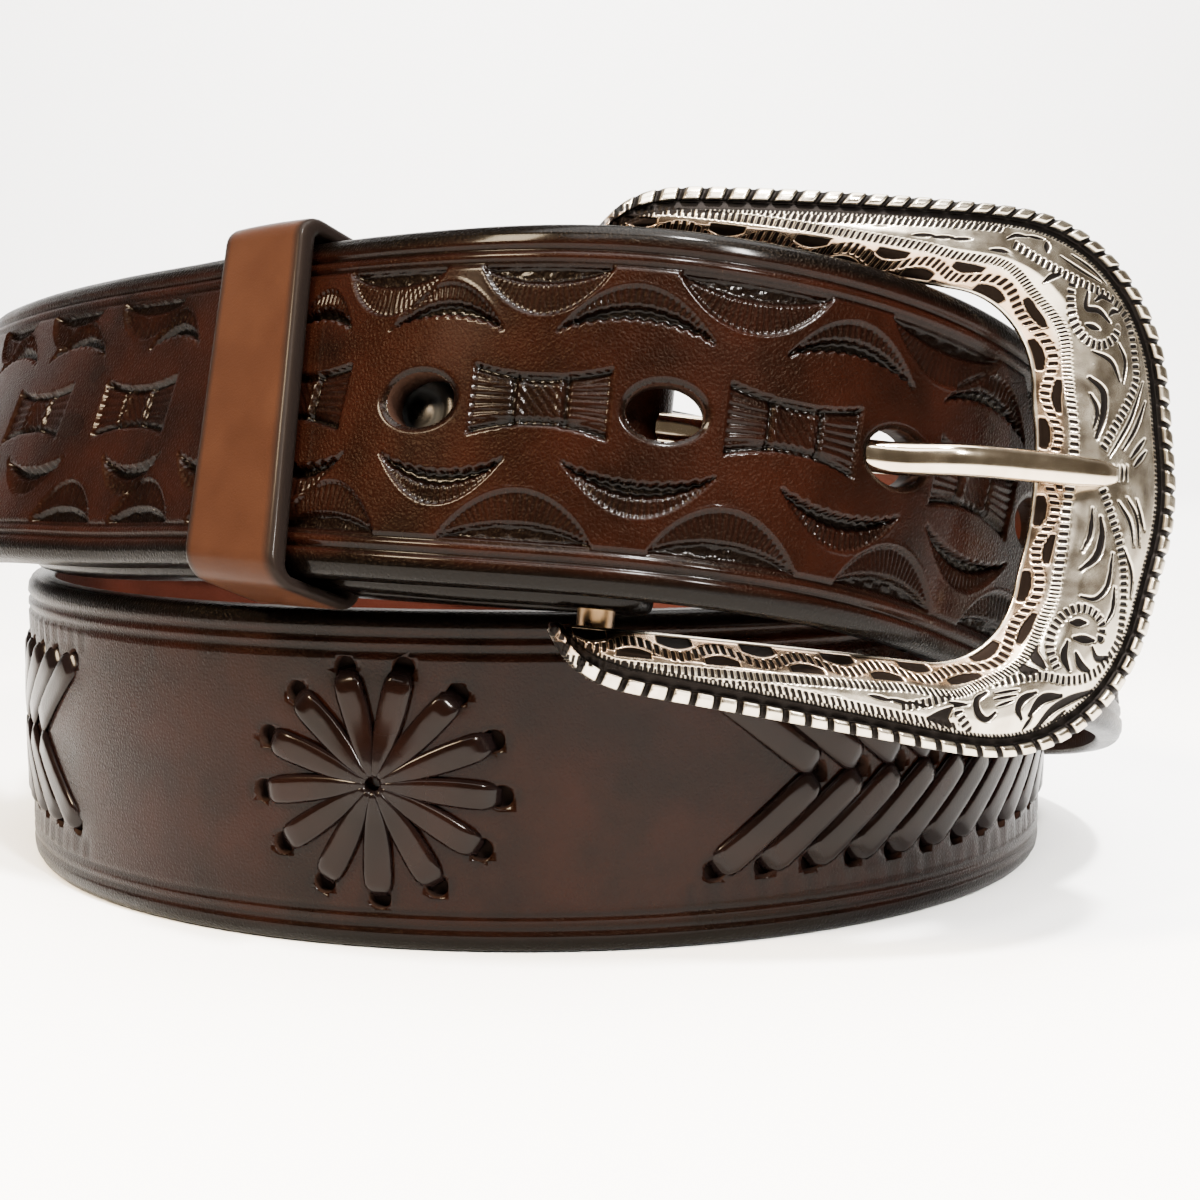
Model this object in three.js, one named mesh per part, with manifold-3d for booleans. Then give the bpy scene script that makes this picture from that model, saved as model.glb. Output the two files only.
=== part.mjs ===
// A western tooled leather belt, buckled and coiled twice, standing on its lower edge.
// Millimetres, +Z up. The strap runs in turns round the Z axis: turn 0 faces -Y, turn 90 faces +X.
import * as THREE from 'three';
import Module from 'manifold-3d';

const wasm = await Module();
wasm.setup();

// Strap
const strapWidth = 38;
const strapThickness = 3.6;
const strapBevel = 0.8;
const loopRadius = 71.2;         // outer face of the lower turn
const sectionStep = 5.4;         // spacing of the strap's sections
const pieceGap = 0.3;            // clearance between pieces that touch

// Free end and its holes
const prongTurn = 27.1;          // where the prong comes through
const tipReach = 186;            // strap from the prong's hole to the tip
const tipTaper = 17;
const tipBluntness = 3;
const holePitch = 25.4;
const holesEachSide = 3;
const holeLength = 8;
const holeHeight = 6;

// Fold round the bar
const barTurn = 727;
const barRadius = 2;
const foldLength = 39;           // return layer behind the buckle end
const foldBlend = 15;            // stretch over which the return layer closes up
const foldNarrowing = 0.4;       // taken off each edge where the strap passes the buckle
const narrowingLength = 16;
const slotWidth = 5.2;
const snapPlaces = [20, 32];     // distance of each snap from the bar
const snapPostRadius = 1.7;
const snapCapRadius = 4.6;
const snapCapHeight = 0.7;
const snapBackRadius = 4;
const snapBackHeight = 2;
const roundSides = 14;           // facets of a round part
const holeSides = 12;

// Buckle
const openingHalfHeight = 19.95;
const openingRight = 45.2;       // bar to the opening's right edge
const openingCorner = 10;
const openingBow = 1.2;
const frameLeft = 5.2;           // bar to the arms' free ends
const frameRight = 63.4;         // bar to the frame's right edge
const armHalfHeight = 26.5;
const cornerHalfHeight = 29.5;
const frameCorner = 20.8;
const frameBow = 1.9;
const armEndRound = 7;
const frameArch = 100.4;         // radius that the frame is bowed to
const archCrest = 31.6;          // bar to the crest of that bow
const frameDome = 1.9;
const frameRim = 0.6;
const frameBack = 2;
const barDepth = 4;              // bar's axis behind the frame's rim
const buckleTurn = 16.9;         // the buckle turned from the strap's line, in degrees
const buckleDrop = 0.45;         // strap's middle above the buckle's middle

// Prong
const prongWidth = 3.5;
const prongThickness = 2.7;
const prongLoopWall = 1.7;
const prongTipPast = 7.8;        // tip past the opening's right edge
const prongTipRise = 1.4;        // tip above the hole, up the buckle
const prongRise = 1.1;           // prong's loop above the strap's middle at the bar
const shankSteps = 22;
const shankSides = 10;
const tipShare = 0.6;            // prong's blunt end as a share of its section

// Keeper
const keeperTurn = -29.4;
const keeperWidth = 12.7;
const keeperWall = 1.5;
const keeperSlack = 0.43;        // clearance at the strap's edges
const keeperEase = 0.58;         // clearance in front of and behind the two layers
const keeperFrontRound = 2.4;
const keeperBackRound = 3.6;
const keeperInnerRound = 1;

// Lacing
const laceThickness = 1.2;
const rosetteTurn = 347;
const rosetteLong = 15;
const rosetteHigh = 13.7;
const petalCount = 13;
const petalWidth = 3.5;
const petalStart = 0.2;          // first petal's angle, in radians
const hubRadius = 2.6;
const hubRise = 0.3;             // bunched middle above the petals
const stitchPitch = 5.91;
const stitchCount = 12;
const chevronRise = 11;
const chevronRun = 13.2;
const panelGapAfter = 37;        // rosette's middle to the next panel's first holes
const panelGapBefore = 47.2;
const panelToRosette = 24.2;
const panelRows = 4;             // steps across a panel

// The strap's route: turn in degrees, outer face's radius as a share of loopRadius,
// middle's height as a share of strapWidth, lean of the top edge inwards in degrees
const route = [
  { turn: -100, radius: 1.271, height: 1.461, lean: 22 },
  { turn: -80, radius: 1.110, height: 1.508, lean: 24.5 },
  { turn: -60, radius: 0.997, height: 1.563, lean: 26 },
  { turn: -42, radius: 0.951, height: 1.580, lean: 22.5 },
  { turn: -25, radius: 0.997, height: 1.607, lean: 23 },
  { turn: -10, radius: 1.107, height: 1.607, lean: 20 },
  { turn: 5, radius: 1.192, height: 1.592, lean: 12 },
  { turn: 20, radius: 1.237, height: 1.513, lean: 8 },
  { turn: 35, radius: 1.203, height: 1.353, lean: -2 },
  { turn: 50, radius: 1.163, height: 1.142, lean: 2 },
  { turn: 70, radius: 1.129, height: 0.955, lean: 5.5 },
  { turn: 90, radius: 1.087, height: 0.768, lean: 7 },
  { turn: 120, radius: 1.059, height: 0.605, lean: 4 },
  { turn: 150, radius: 1.034, height: 0.521, lean: 1 },
  { turn: 180, radius: 1.017, height: 0.5, lean: 0 },
  { turn: 270, radius: 1.003, height: 0.5, lean: 0 },
  { turn: 435, radius: 1, height: 0.5, lean: 0 },
  { turn: 450, radius: 0.980, height: 0.579, lean: 0 },
  { turn: 480, radius: 0.958, height: 0.816, lean: 0 },
  { turn: 510, radius: 0.944, height: 1, lean: 0 },
  { turn: 540, radius: 0.934, height: 1.171, lean: 0 },
  { turn: 570, radius: 0.930, height: 1.311, lean: 0 },
  { turn: 600, radius: 0.928, height: 1.421, lean: 0 },
  { turn: 615, radius: 0.930, height: 1.495, lean: 3 },
  { turn: 630, radius: 0.933, height: 1.532, lean: 7 },
  { turn: 645, radius: 0.927, height: 1.516, lean: 14 },
  { turn: 660, radius: 0.907, height: 1.522, lean: 21 },
  { turn: 678, radius: 0.909, height: 1.537, lean: 22.7 },
  { turn: 696, radius: 0.941, height: 1.564, lean: 22.6 },
  { turn: 711, radius: 1.039, height: 1.562, lean: 18.6 },
  { turn: 721, radius: 1.100, height: 1.545, lean: 13 },
  { turn: 728.4, radius: 1.133, height: 1.521, lean: 8.3 },
  { turn: 736, radius: 1.154, height: 1.492, lean: 6.5 },
];
const easing = [[-8, 1], [-4, 2], [0, 3], [4, 2], [8, 1]];   // degrees and weight

const radians = THREE.MathUtils.degToRad;
const vec = (x, y, z) => new THREE.Vector3(x, y, z);
const mix = THREE.MathUtils.lerp;
const clamp = THREE.MathUtils.clamp;

// Slope at each row that never overshoots its neighbours
function rowSlopes(rows, key) {
  const rise = rows.slice(1).map((row, i) => (row[key] - rows[i][key]) / (row.turn - rows[i].turn));
  return rows.map((row, i) => {
    if (i === 0) return rise[0];
    if (i === rows.length - 1) return rise[i - 1];
    if (rise[i - 1] * rise[i] <= 0) return 0;
    const before = row.turn - rows[i - 1].turn;
    const after = rows[i + 1].turn - row.turn;
    const first = 2 * after + before;
    const second = after + 2 * before;
    return (first + second) / (first / rise[i - 1] + second / rise[i]);
  });
}

function rowCurve(rows, key) {
  const slopes = rowSlopes(rows, key);
  const last = rows.length - 1;
  const plain = (turn) => {
    if (turn <= rows[0].turn) return rows[0][key] + (turn - rows[0].turn) * slopes[0];
    if (turn >= rows[last].turn) return rows[last][key] + (turn - rows[last].turn) * slopes[last];
    const i = rows.findIndex((row) => row.turn > turn) - 1;
    const span = rows[i + 1].turn - rows[i].turn;
    const u = (turn - rows[i].turn) / span;
    return (2 * u ** 3 - 3 * u ** 2 + 1) * rows[i][key] + (u ** 3 - 2 * u ** 2 + u) * span * slopes[i]
      + (3 * u ** 2 - 2 * u ** 3) * rows[i + 1][key] + (u ** 3 - u ** 2) * span * slopes[i + 1];
  };
  const total = easing.reduce((sum, [, weight]) => sum + weight, 0);
  return (turn) => easing.reduce((sum, [shift, weight]) => sum + weight * plain(turn + shift), 0) / total;
}

const radiusAt = rowCurve(route, 'radius');
const heightAt = rowCurve(route, 'height');
const leanAt = rowCurve(route, 'lean');

function facePoint(turn) {
  const angle = radians(turn);
  const radius = radiusAt(turn) * loopRadius;
  return vec(Math.sin(angle) * radius, -Math.cos(angle) * radius, heightAt(turn) * strapWidth);
}

// Outer face's middle, with the directions along, across (up) and out of the strap
function strapFrame(turn) {
  const angle = radians(turn);
  const lean = radians(leanAt(turn));
  const outward = vec(Math.sin(angle), -Math.cos(angle), 0);
  const along = facePoint(turn + 0.1).sub(facePoint(turn - 0.1)).normalize();
  const across = outward.multiplyScalar(-Math.sin(lean)).add(vec(0, 0, Math.cos(lean)));
  across.addScaledVector(along, -across.dot(along)).normalize();
  return { point: facePoint(turn), along, across, out: along.clone().cross(across) };
}

// Length along the strap, from turn to turn
const firstTurn = route[0].turn - 30;
const lengths = [];
for (let turn = firstTurn, total = 0, before = null; turn <= barTurn + 6; turn += 0.5) {
  const frame = strapFrame(turn);
  const middle = frame.point.addScaledVector(frame.out, -strapThickness / 2);
  if (before) total += middle.distanceTo(before);
  before = middle;
  lengths.push({ turn, total });
}

function lookUp(value, from, to) {
  let i = lengths.findIndex((row) => row[from] >= value);
  i = i < 0 ? lengths.length - 1 : Math.max(i, 1);
  const low = lengths[i - 1];
  const high = lengths[i];
  return mix(low[to], high[to], (value - low[from]) / (high[from] - low[from]));
}
const prongLength = lookUp(prongTurn, 'turn', 'total');
const tipLength = prongLength - tipReach;
const lengthOf = (turn) => lookUp(turn, 'turn', 'total') - tipLength;   // measured from the tip
const turnOf = (length) => lookUp(length + tipLength, 'total', 'turn');
const barLength = lengthOf(barTurn);

// A point on the strap: length from the tip, height across, and height above the outer face
function onStrap(length, across, above) {
  const frame = strapFrame(turnOf(length));
  return frame.point.addScaledVector(frame.across, across).addScaledVector(frame.out, above);
}

// Closed meshes
function closedGeometry(points, triangles) {
  const volume = triangles.reduce((sum, [a, b, c]) => sum
    + points[a].dot(points[b].clone().cross(points[c])), 0);
  const geometry = new THREE.BufferGeometry();
  const index = triangles.flatMap(([a, b, c]) => (volume < 0 ? [a, c, b] : [a, b, c]));
  geometry.setAttribute('position', new THREE.Float32BufferAttribute(points.flatMap((p) => p.toArray()), 3));
  geometry.setIndex(index);
  return geometry;
}

// A skin over a row of sections with the same number of points, closed by a fan at each end
function skin(sections) {
  const size = sections[0].length;
  const points = sections.flat();
  const triangles = [];
  for (let row = 0; row < sections.length - 1; row += 1) {
    for (let i = 0; i < size; i += 1) {
      const a = row * size + i;
      const b = row * size + ((i + 1) % size);
      triangles.push([a, b, a + size], [b, b + size, a + size]);
    }
  }
  const end = (sections.length - 1) * size;
  for (let i = 1; i < size - 1; i += 1) {
    triangles.push([0, i + 1, i], [end, end + i, end + i + 1]);
  }
  return closedGeometry(points, triangles);
}

// A slab on a grid: each row is a section made of its top points and its bottom points
function slab(rows, columns, top, bottom) {
  const sections = [];
  for (let i = 0; i < rows; i += 1) {
    const section = [];
    for (let j = 0; j < columns; j += 1) section.push(top(i, j));
    for (let j = columns - 1; j >= 0; j -= 1) section.push(bottom(i, j));
    sections.push(section);
  }
  return skin(sections);
}

function toSolid(geometry) {
  const { position } = geometry.attributes;
  const mesh = new wasm.Mesh({
    numProp: 3,
    vertProperties: new Float32Array(position.array),
    triVerts: new Uint32Array(geometry.index.array),
  });
  return new wasm.Manifold(mesh);
}

function fromSolid(solid) {
  const mesh = solid.getMesh();
  const geometry = new THREE.BufferGeometry();
  geometry.setAttribute('position', new THREE.Float32BufferAttribute(mesh.vertProperties, 3));
  geometry.setIndex(new THREE.Uint32BufferAttribute(mesh.triVerts, 1));
  return geometry;
}

const joined = (solids) => solids.reduce((sum, solid) => sum.add(solid));

// A right prism on an oval, standing in the given frame from low to high along its third axis
function ovalPrism(frame, halfLong, halfHigh, low, high) {
  const ring = (level) => Array.from({ length: holeSides }, (_, i) => {
    const angle = (i / holeSides) * Math.PI * 2;
    return frame.point.clone()
      .addScaledVector(frame.along, Math.cos(angle) * halfLong)
      .addScaledVector(frame.across, Math.sin(angle) * halfHigh)
      .addScaledVector(frame.out, level);
  });
  return skin([ring(low), ring(high)]);
}

const belt = new THREE.Group();
const leather = { color: 0x3a2018, roughness: 0.45, metalness: 0 };
const silver = { color: 0xb9b4aa, roughness: 0.25, metalness: 1 };

function addPiece(name, geometry, finish) {
  const faceted = geometry.index ? geometry.toNonIndexed() : geometry;
  faceted.computeVertexNormals();
  const mesh = new THREE.Mesh(faceted, new THREE.MeshStandardMaterial(finish));
  mesh.name = name;
  belt.add(mesh);
}

// Strap
const tipHalfWidth = (length) => {
  const left = clamp(1 - length / tipTaper, 0, 1);
  return Math.max(tipBluntness, (strapWidth / 2) * (1 - left ** 2.2) ** 0.62);
};

function strapSection(frame, halfWidth) {
  const bevel = Math.min(strapBevel, halfWidth * 0.3);
  const flat = halfWidth - bevel;
  const corners = [[flat, 0], [halfWidth, -bevel], [halfWidth, bevel - strapThickness],
    [flat, -strapThickness], [-flat, -strapThickness], [-halfWidth, bevel - strapThickness],
    [-halfWidth, -bevel], [-flat, 0]];
  return corners.map(([across, above]) => frame.point.clone()
    .addScaledVector(frame.across, across).addScaledVector(frame.out, above));
}

const narrowed = (toBar) => strapWidth / 2
  - foldNarrowing * THREE.MathUtils.smoothstep(narrowingLength - toBar, 0, narrowingLength);

const barFrame = strapFrame(barTurn);
const foldRadius = barRadius + pieceGap + strapThickness;        // outer face round the bar
const barCentre = barFrame.point.clone().addScaledVector(barFrame.out, -foldRadius);

function foldFrame(angle) {
  const out = barFrame.out.clone().multiplyScalar(Math.cos(angle))
    .addScaledVector(barFrame.along, Math.sin(angle));
  const point = barCentre.clone().addScaledVector(out, foldRadius);
  return { point, out, along: out.clone().cross(barFrame.across).negate(), across: barFrame.across };
}

// The return layer lies behind the buckle end, closing up to it away from the bar
function returnFrame(back) {
  const frame = strapFrame(turnOf(barLength - back));
  const settled = 2 * strapThickness + pieceGap;
  const close = THREE.MathUtils.smoothstep(back, 0, foldBlend);
  const depth = mix(2 * foldRadius, settled, close);
  return {
    point: frame.point.addScaledVector(frame.out, -depth),
    out: frame.out.clone().negate(),
    along: frame.along.clone().negate(),
    across: frame.across,
  };
}

const strapSections = [];
const taperSteps = [0, 0.6, 1.8, 3.6, 6, 9, 13, tipTaper];
for (const length of taperSteps) {
  strapSections.push(strapSection(strapFrame(turnOf(length)), tipHalfWidth(length)));
}
const plainSteps = Math.round((barLength - tipTaper) / sectionStep);
for (let i = 1; i <= plainSteps; i += 1) {
  const length = mix(tipTaper, barLength, i / plainSteps);
  strapSections.push(strapSection(strapFrame(turnOf(length)), narrowed(barLength - length)));
}
const foldSteps = 8;
for (let i = 1; i < foldSteps; i += 1) {
  strapSections.push(strapSection(foldFrame((i / foldSteps) * Math.PI), narrowed(0)));
}
const returnSteps = Math.round(foldLength / sectionStep);
for (let i = 0; i <= returnSteps; i += 1) {
  const back = (foldLength * i) / returnSteps;
  const frame = returnFrame(back);
  strapSections.push(strapSection(frame, narrowed(back)));
}

const holeLengths = [];
for (let i = -holesEachSide; i <= holesEachSide; i += 1) holeLengths.push(tipReach + i * holePitch);
const holeCuts = holeLengths.map((length) => toSolid(ovalPrism(strapFrame(turnOf(length)),
  holeLength / 2, holeHeight / 2, -2 * strapThickness, strapThickness)));

const slotHalf = foldRadius + pieceGap;
const slotFrame = { ...barFrame, point: barCentre.clone().addScaledVector(barFrame.across, prongRise) };
const slotRing = (level) => [[1, 1], [-1, 1], [-1, -1], [1, -1]].map(([a, b]) => slotFrame.point.clone()
  .addScaledVector(barFrame.along, a * slotHalf)
  .addScaledVector(barFrame.across, (b * slotWidth) / 2)
  .addScaledVector(barFrame.out, level));
const slotCut = toSolid(skin([slotRing(-slotHalf), slotRing(slotHalf)]));

const snapFrames = snapPlaces.map((place) => strapFrame(turnOf(barLength - place)));
const snapCuts = snapFrames.map((frame) => toSolid(ovalPrism(frame, snapPostRadius + pieceGap,
  snapPostRadius + pieceGap, -3 * foldRadius, strapThickness)));

// Snaps: a cap on the face, a post through both layers and a button behind
snapFrames.forEach((frame, i) => {
  const close = THREE.MathUtils.smoothstep(snapPlaces[i], 0, foldBlend);
  const behind = mix(2 * foldRadius, 2 * strapThickness + pieceGap, close) + 2 * pieceGap;
  const profile = [[snapCapRadius * 0.8, pieceGap + snapCapHeight],
    [snapCapRadius, pieceGap + snapCapHeight * 0.4], [snapCapRadius, pieceGap], [snapPostRadius, pieceGap],
    [snapPostRadius, -behind], [snapBackRadius, -behind],
    [snapBackRadius, -behind - snapBackHeight * 0.55], [snapBackRadius * 0.6, -behind - snapBackHeight]];
  const rings = profile.map(([radius, level]) => Array.from({ length: roundSides }, (_, k) => {
    const angle = (k / roundSides) * Math.PI * 2;
    return frame.point.clone().addScaledVector(frame.along, Math.cos(angle) * radius)
      .addScaledVector(frame.across, Math.sin(angle) * radius).addScaledVector(frame.out, level);
  }));
  addPiece(`snap_${i + 1}`, skin(rings), silver);
});

// Keeper: a plain loop round both layers
const keeperFrame = strapFrame(keeperTurn);
const innerFrame = strapFrame(keeperTurn + 720);
const layerStep = keeperFrame.point.clone().sub(innerFrame.point);
const layerGap = layerStep.dot(keeperFrame.out);
const layerDrop = layerStep.dot(keeperFrame.across);
const keeperBack = layerGap + strapThickness + 2 * keeperEase;
function keeperBlock(grow, frontRound, backRound, width) {
  const reach = strapWidth / 2 + keeperSlack + grow;
  const front = keeperEase + grow;
  const back = -keeperBack - grow;
  const corners = [
    { across: reach, out: front, start: 0, round: frontRound },
    { across: -reach, out: front, start: 90, round: frontRound },
    { across: -reach - layerDrop, out: back, start: 180, round: backRound },
    { across: reach - layerDrop, out: back, start: 270, round: backRound },
  ];
  const outline = corners.flatMap(({ across, out, start, round }) => [0, 30, 60, 90].map((turn) => {
    const angle = radians(start + turn);
    const inAcross = across - Math.sign(across) * round;
    const inOut = out - Math.sign(out - back - 1) * round;
    return [inAcross + round * Math.cos(angle), inOut + round * Math.sin(angle)];
  }));
  const ring = (along) => outline.map(([across, out]) => keeperFrame.point.clone()
    .addScaledVector(keeperFrame.across, across)
    .addScaledVector(keeperFrame.out, out)
    .addScaledVector(keeperFrame.along, along));
  return toSolid(skin([ring(-width / 2), ring(width / 2)]));
}
const keeper = keeperBlock(keeperWall, keeperFrontRound, keeperBackRound, keeperWidth)
  .subtract(keeperBlock(0, keeperInnerRound, keeperInnerRound, 2 * keeperWidth));
addPiece('keeper', fromSolid(keeper), { color: 0x6b4530, roughness: 0.5, metalness: 0 });

// Buckle: x along it from the bar, z up it, y away from the viewer with the bar at 0
const middle = barCentre.clone().addScaledVector(barFrame.across, -buckleDrop);
const buckleBasis = new THREE.Matrix4()
  .makeBasis(barFrame.along, barFrame.out.clone().negate(), barFrame.across)
  .multiply(new THREE.Matrix4().makeRotationZ(radians(buckleTurn)));
const bow = (x) => ((x - archCrest) ** 2 - archCrest ** 2) / (2 * frameArch);
const onBuckle = (x, z, depth) => vec(x, bow(x) - barDepth + depth, z).applyMatrix4(buckleBasis).add(middle);

// Matching points on the frame's outer and inner outlines, from the lower arm's end to the upper's
function frameOutline() {
  const half = [];
  const innerStart = openingRight - openingBow - openingCorner;
  const outerStart = frameRight - frameBow - frameCorner;
  for (let i = 0; i < 4; i += 1) {                        // rounded end of the arm
    const angle = radians(mix(10, 90, i / 4));
    const x = -frameLeft + armEndRound * (1 - Math.cos(angle));
    half.push({ outer: [x, openingHalfHeight + (armHalfHeight - openingHalfHeight) * Math.sin(angle)],
      inner: [x, openingHalfHeight] });
  }
  for (let i = 0; i < 10; i += 1) {                       // arm
    const u = i / 10;
    half.push({ outer: [mix(armEndRound - frameLeft, outerStart, u), mix(armHalfHeight, cornerHalfHeight, u)],
      inner: [mix(armEndRound - frameLeft, innerStart, u), openingHalfHeight] });
  }
  for (let i = 0; i < 9; i += 1) {                        // corner
    const angle = radians(90 * (1 - i / 9));
    half.push({ outer: [outerStart + frameCorner * Math.cos(angle),
      cornerHalfHeight - frameCorner + frameCorner * Math.sin(angle)],
      inner: [innerStart + openingCorner * Math.cos(angle),
        openingHalfHeight - openingCorner + openingCorner * Math.sin(angle)] });
  }
  for (let i = 0; i <= 3; i += 1) {                       // bowed right side
    const u = 1 - i / 3;
    half.push({ outer: [frameRight - frameBow * u * u, (cornerHalfHeight - frameCorner) * u],
      inner: [openingRight - openingBow * u * u, (openingHalfHeight - openingCorner) * u] });
  }
  const mirror = half.slice(0, -1).reverse().map(({ outer, inner }) => ({
    outer: [outer[0], -outer[1]], inner: [inner[0], -inner[1]] }));
  return [...half, ...mirror];
}

// Across the band from its inner edge: share of the width, depth of the front
const bandProfile = [
  { share: 0, depth: 1.5 * frameRim },
  { share: 0.14, depth: -0.5 * frameRim },
  { share: 0.38, depth: -frameDome },
  { share: 0.62, depth: -frameDome },
  { share: 0.86, depth: -frameRim },
  { share: 1, depth: -frameRim },
];
const frameSections = frameOutline().map(({ outer, inner }) => {
  const front = bandProfile.map(({ share, depth }) => onBuckle(mix(inner[0], outer[0], share),
    mix(inner[1], outer[1], share), depth));
  return [...front, onBuckle(outer[0], outer[1], frameBack), onBuckle(inner[0], inner[1], frameBack)];
});
const barHalf = mix(openingHalfHeight, armHalfHeight, 0.55);
const barRing = (z, radius) => Array.from({ length: roundSides }, (_, i) => {
  const angle = (i / roundSides) * Math.PI * 2;
  return vec(Math.cos(angle) * radius, Math.sin(angle) * radius, z).applyMatrix4(buckleBasis).add(middle);
});
const barSolid = toSolid(skin([barRing(-barHalf, barRadius), barRing(barHalf, barRadius)]));
const frameSolid = toSolid(skin(frameSections)).add(barSolid);
addPiece('buckle_frame', fromSolid(frameSolid), silver);

// Prong: a loop round the bar, then a bowed shank through the hole to a rest on the frame
const holeFrame = strapFrame(prongTurn);
const holePoint = holeFrame.point.clone().addScaledVector(holeFrame.out, -0.3 * prongThickness);
const toBuckle = buckleBasis.clone().invert();
const holeLocal = holePoint.clone().sub(middle).applyMatrix4(toBuckle);
const restX = openingRight + prongTipPast;
const restDepth = -frameDome - pieceGap - prongThickness / 2;
const loopZ = buckleDrop + prongRise;
const loopOuter = barRadius + pieceGap + prongLoopWall;
const tipZ = holeLocal.z + prongTipRise;
const restY = bow(restX) - barDepth + restDepth;
const crownY = Math.min(restY, holeLocal.y) - prongThickness * 0.65;
const shankRoute = [
  { reach: 0, depth: 0 },
  { reach: 0.22, depth: 0.26 },
  { reach: 0.5, depth: 0.55 },
  { reach: 0.78, depth: 0.74 },
  { reach: 1, depth: 1 },
];
const loopY = -loopOuter + prongThickness / 2;
const shankPoints = shankRoute.map(({ reach, depth }) => [holeLocal.x * reach,
  mix(loopY, holeLocal.y, depth), mix(loopZ, holeLocal.z, reach)]);
const pastHole = restX - holeLocal.x;
shankPoints.push(
  [holeLocal.x + pastHole * 0.25, crownY, mix(holeLocal.z, tipZ, 0.25)],
  [holeLocal.x + pastHole * 0.6, mix(crownY, restY, 0.22), mix(holeLocal.z, tipZ, 0.6)],
  [restX, restY, tipZ],
);
const shankPath = new THREE.CatmullRomCurve3(shankPoints
  .map(([x, y, z]) => vec(x, y, z).applyMatrix4(buckleBasis).add(middle)), false, 'centripetal');
const buckleUp = vec(0, 0, 1).applyMatrix4(buckleBasis);

function shankSolid(grow) {
  const sections = [];
  for (let i = 0; i <= shankSteps; i += 1) {
    const point = shankPath.getPointAt(i / shankSteps);
    const along = shankPath.getTangentAt(i / shankSteps);
    const up = buckleUp.clone().addScaledVector(along, -buckleUp.dot(along)).normalize();
    const out = along.clone().cross(up);
    const blunt = i === shankSteps ? tipShare : 1;
    sections.push(Array.from({ length: shankSides }, (_, k) => {
      const angle = ((k + 0.5) / shankSides) * Math.PI * 2;
      return point.clone().addScaledVector(up, Math.cos(angle) * ((blunt * prongWidth) / 2 + grow))
        .addScaledVector(out, Math.sin(angle) * ((blunt * prongThickness) / 2 + grow));
    }));
  }
  return toSolid(skin(sections));
}
const loopBody = skin([barRing(loopZ - prongWidth / 2, loopOuter),
  barRing(loopZ + prongWidth / 2, loopOuter)]);
const loopBore = skin([barRing(loopZ - prongWidth, barRadius + pieceGap),
  barRing(loopZ + prongWidth, barRadius + pieceGap)]);
const prong = shankSolid(0).add(toSolid(loopBody)).subtract(toSolid(loopBore));
addPiece('prong', fromSolid(prong), silver);

// The leather gives way where the prong passes through it
let strap = toSolid(skin(strapSections));
for (const cut of [...holeCuts, slotCut, ...snapCuts, shankSolid(pieceGap)]) strap = strap.subtract(cut);
addPiece('strap', fromSolid(strap), leather);

// Rosettes: flat laces from a bunched middle to holes on an oval
const petalStations = [
  { reach: 0.12, width: 0.4 },
  { reach: 0.5, width: 0.95 },
  { reach: 1.03, width: 1 },
  { reach: 1.1, width: 0.6 },
];
const laceFoot = 1.7 * pieceGap;

function rosette(name, length) {
  const petals = [];
  for (let k = 0; k < petalCount; k += 1) {
    const angle = (k / petalCount) * Math.PI * 2 + petalStart;
    const reach = Math.hypot(rosetteLong * Math.cos(angle), rosetteHigh * Math.sin(angle));
    const place = (i, side, above) => {
      const station = petalStations[i];
      const far = station.reach * reach;
      const off = (side * station.width * petalWidth) / 2;
      return onStrap(length + far * Math.cos(angle) - off * Math.sin(angle),
        far * Math.sin(angle) + off * Math.cos(angle), above);
    };
    petals.push(toSolid(slab(petalStations.length, 2, (i, j) => place(i, 2 * j - 1, laceFoot + laceThickness),
      (i, j) => place(i, 2 * j - 1, laceFoot))));
  }
  const hubFrame = strapFrame(turnOf(length));
  const hubTop = laceFoot + laceThickness + hubRise;
  petals.push(toSolid(ovalPrism(hubFrame, hubRadius, hubRadius, laceFoot, hubTop)));
  addPiece(name, fromSolid(joined(petals)), { color: 0x38180f, roughness: 0.35, metalness: 0 });
}

// Chevron panels: laces side by side, each lapping the next, pointing along the strap
const lapProfile = [
  { share: 0, height: 0.55 },
  { share: 0.75, height: 1.25 },
];

function chevrons(name, start, pointing) {
  const rows = stitchCount * lapProfile.length + 1;
  const acrossAt = (j) => mix(-chevronRise, chevronRise, j / panelRows);
  const along = (i, j) => {
    const lace = Math.floor(i / lapProfile.length);
    const share = lapProfile[i % lapProfile.length].share;
    const run = chevronRun * (1 - Math.abs(acrossAt(j)) / chevronRise);
    return start + pointing * ((lace + share - 0.5) * stitchPitch + run);
  };
  const top = (i, j) => onStrap(along(i, j), acrossAt(j),
    laceFoot + laceThickness * lapProfile[i % lapProfile.length].height);
  const bottom = (i, j) => onStrap(along(i, j), acrossAt(j), laceFoot);
  addPiece(name, slab(rows, panelRows + 1, top, bottom), { color: 0x2c1510, roughness: 0.4, metalness: 0 });
}

const centreLength = lengthOf(rosetteTurn);
const panelLength = (stitchCount - 1) * stitchPitch + chevronRun;
const afterRosette = centreLength + panelGapAfter + panelLength + panelToRosette;
const beforeRosette = centreLength - panelGapBefore - panelLength - panelToRosette;
rosette('rosette_centre', centreLength);
rosette('rosette_buckle_side', afterRosette);
rosette('rosette_tip_side', beforeRosette);
chevrons('chevrons_centre_buckle_side', centreLength + panelGapAfter, 1);
chevrons('chevrons_centre_tip_side', centreLength - panelGapBefore, -1);
chevrons('chevrons_buckle_side', afterRosette + panelGapAfter, 1);
chevrons('chevrons_tip_side', beforeRosette - panelGapAfter, -1);

// The origin lies on the floor under the middle of the whole belt
const box = new THREE.Box3().setFromObject(belt);
const centre = box.getCenter(vec(0, 0, 0));
belt.position.set(-centre.x, -centre.y, -box.min.z);

export default belt;
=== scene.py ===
import math

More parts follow.
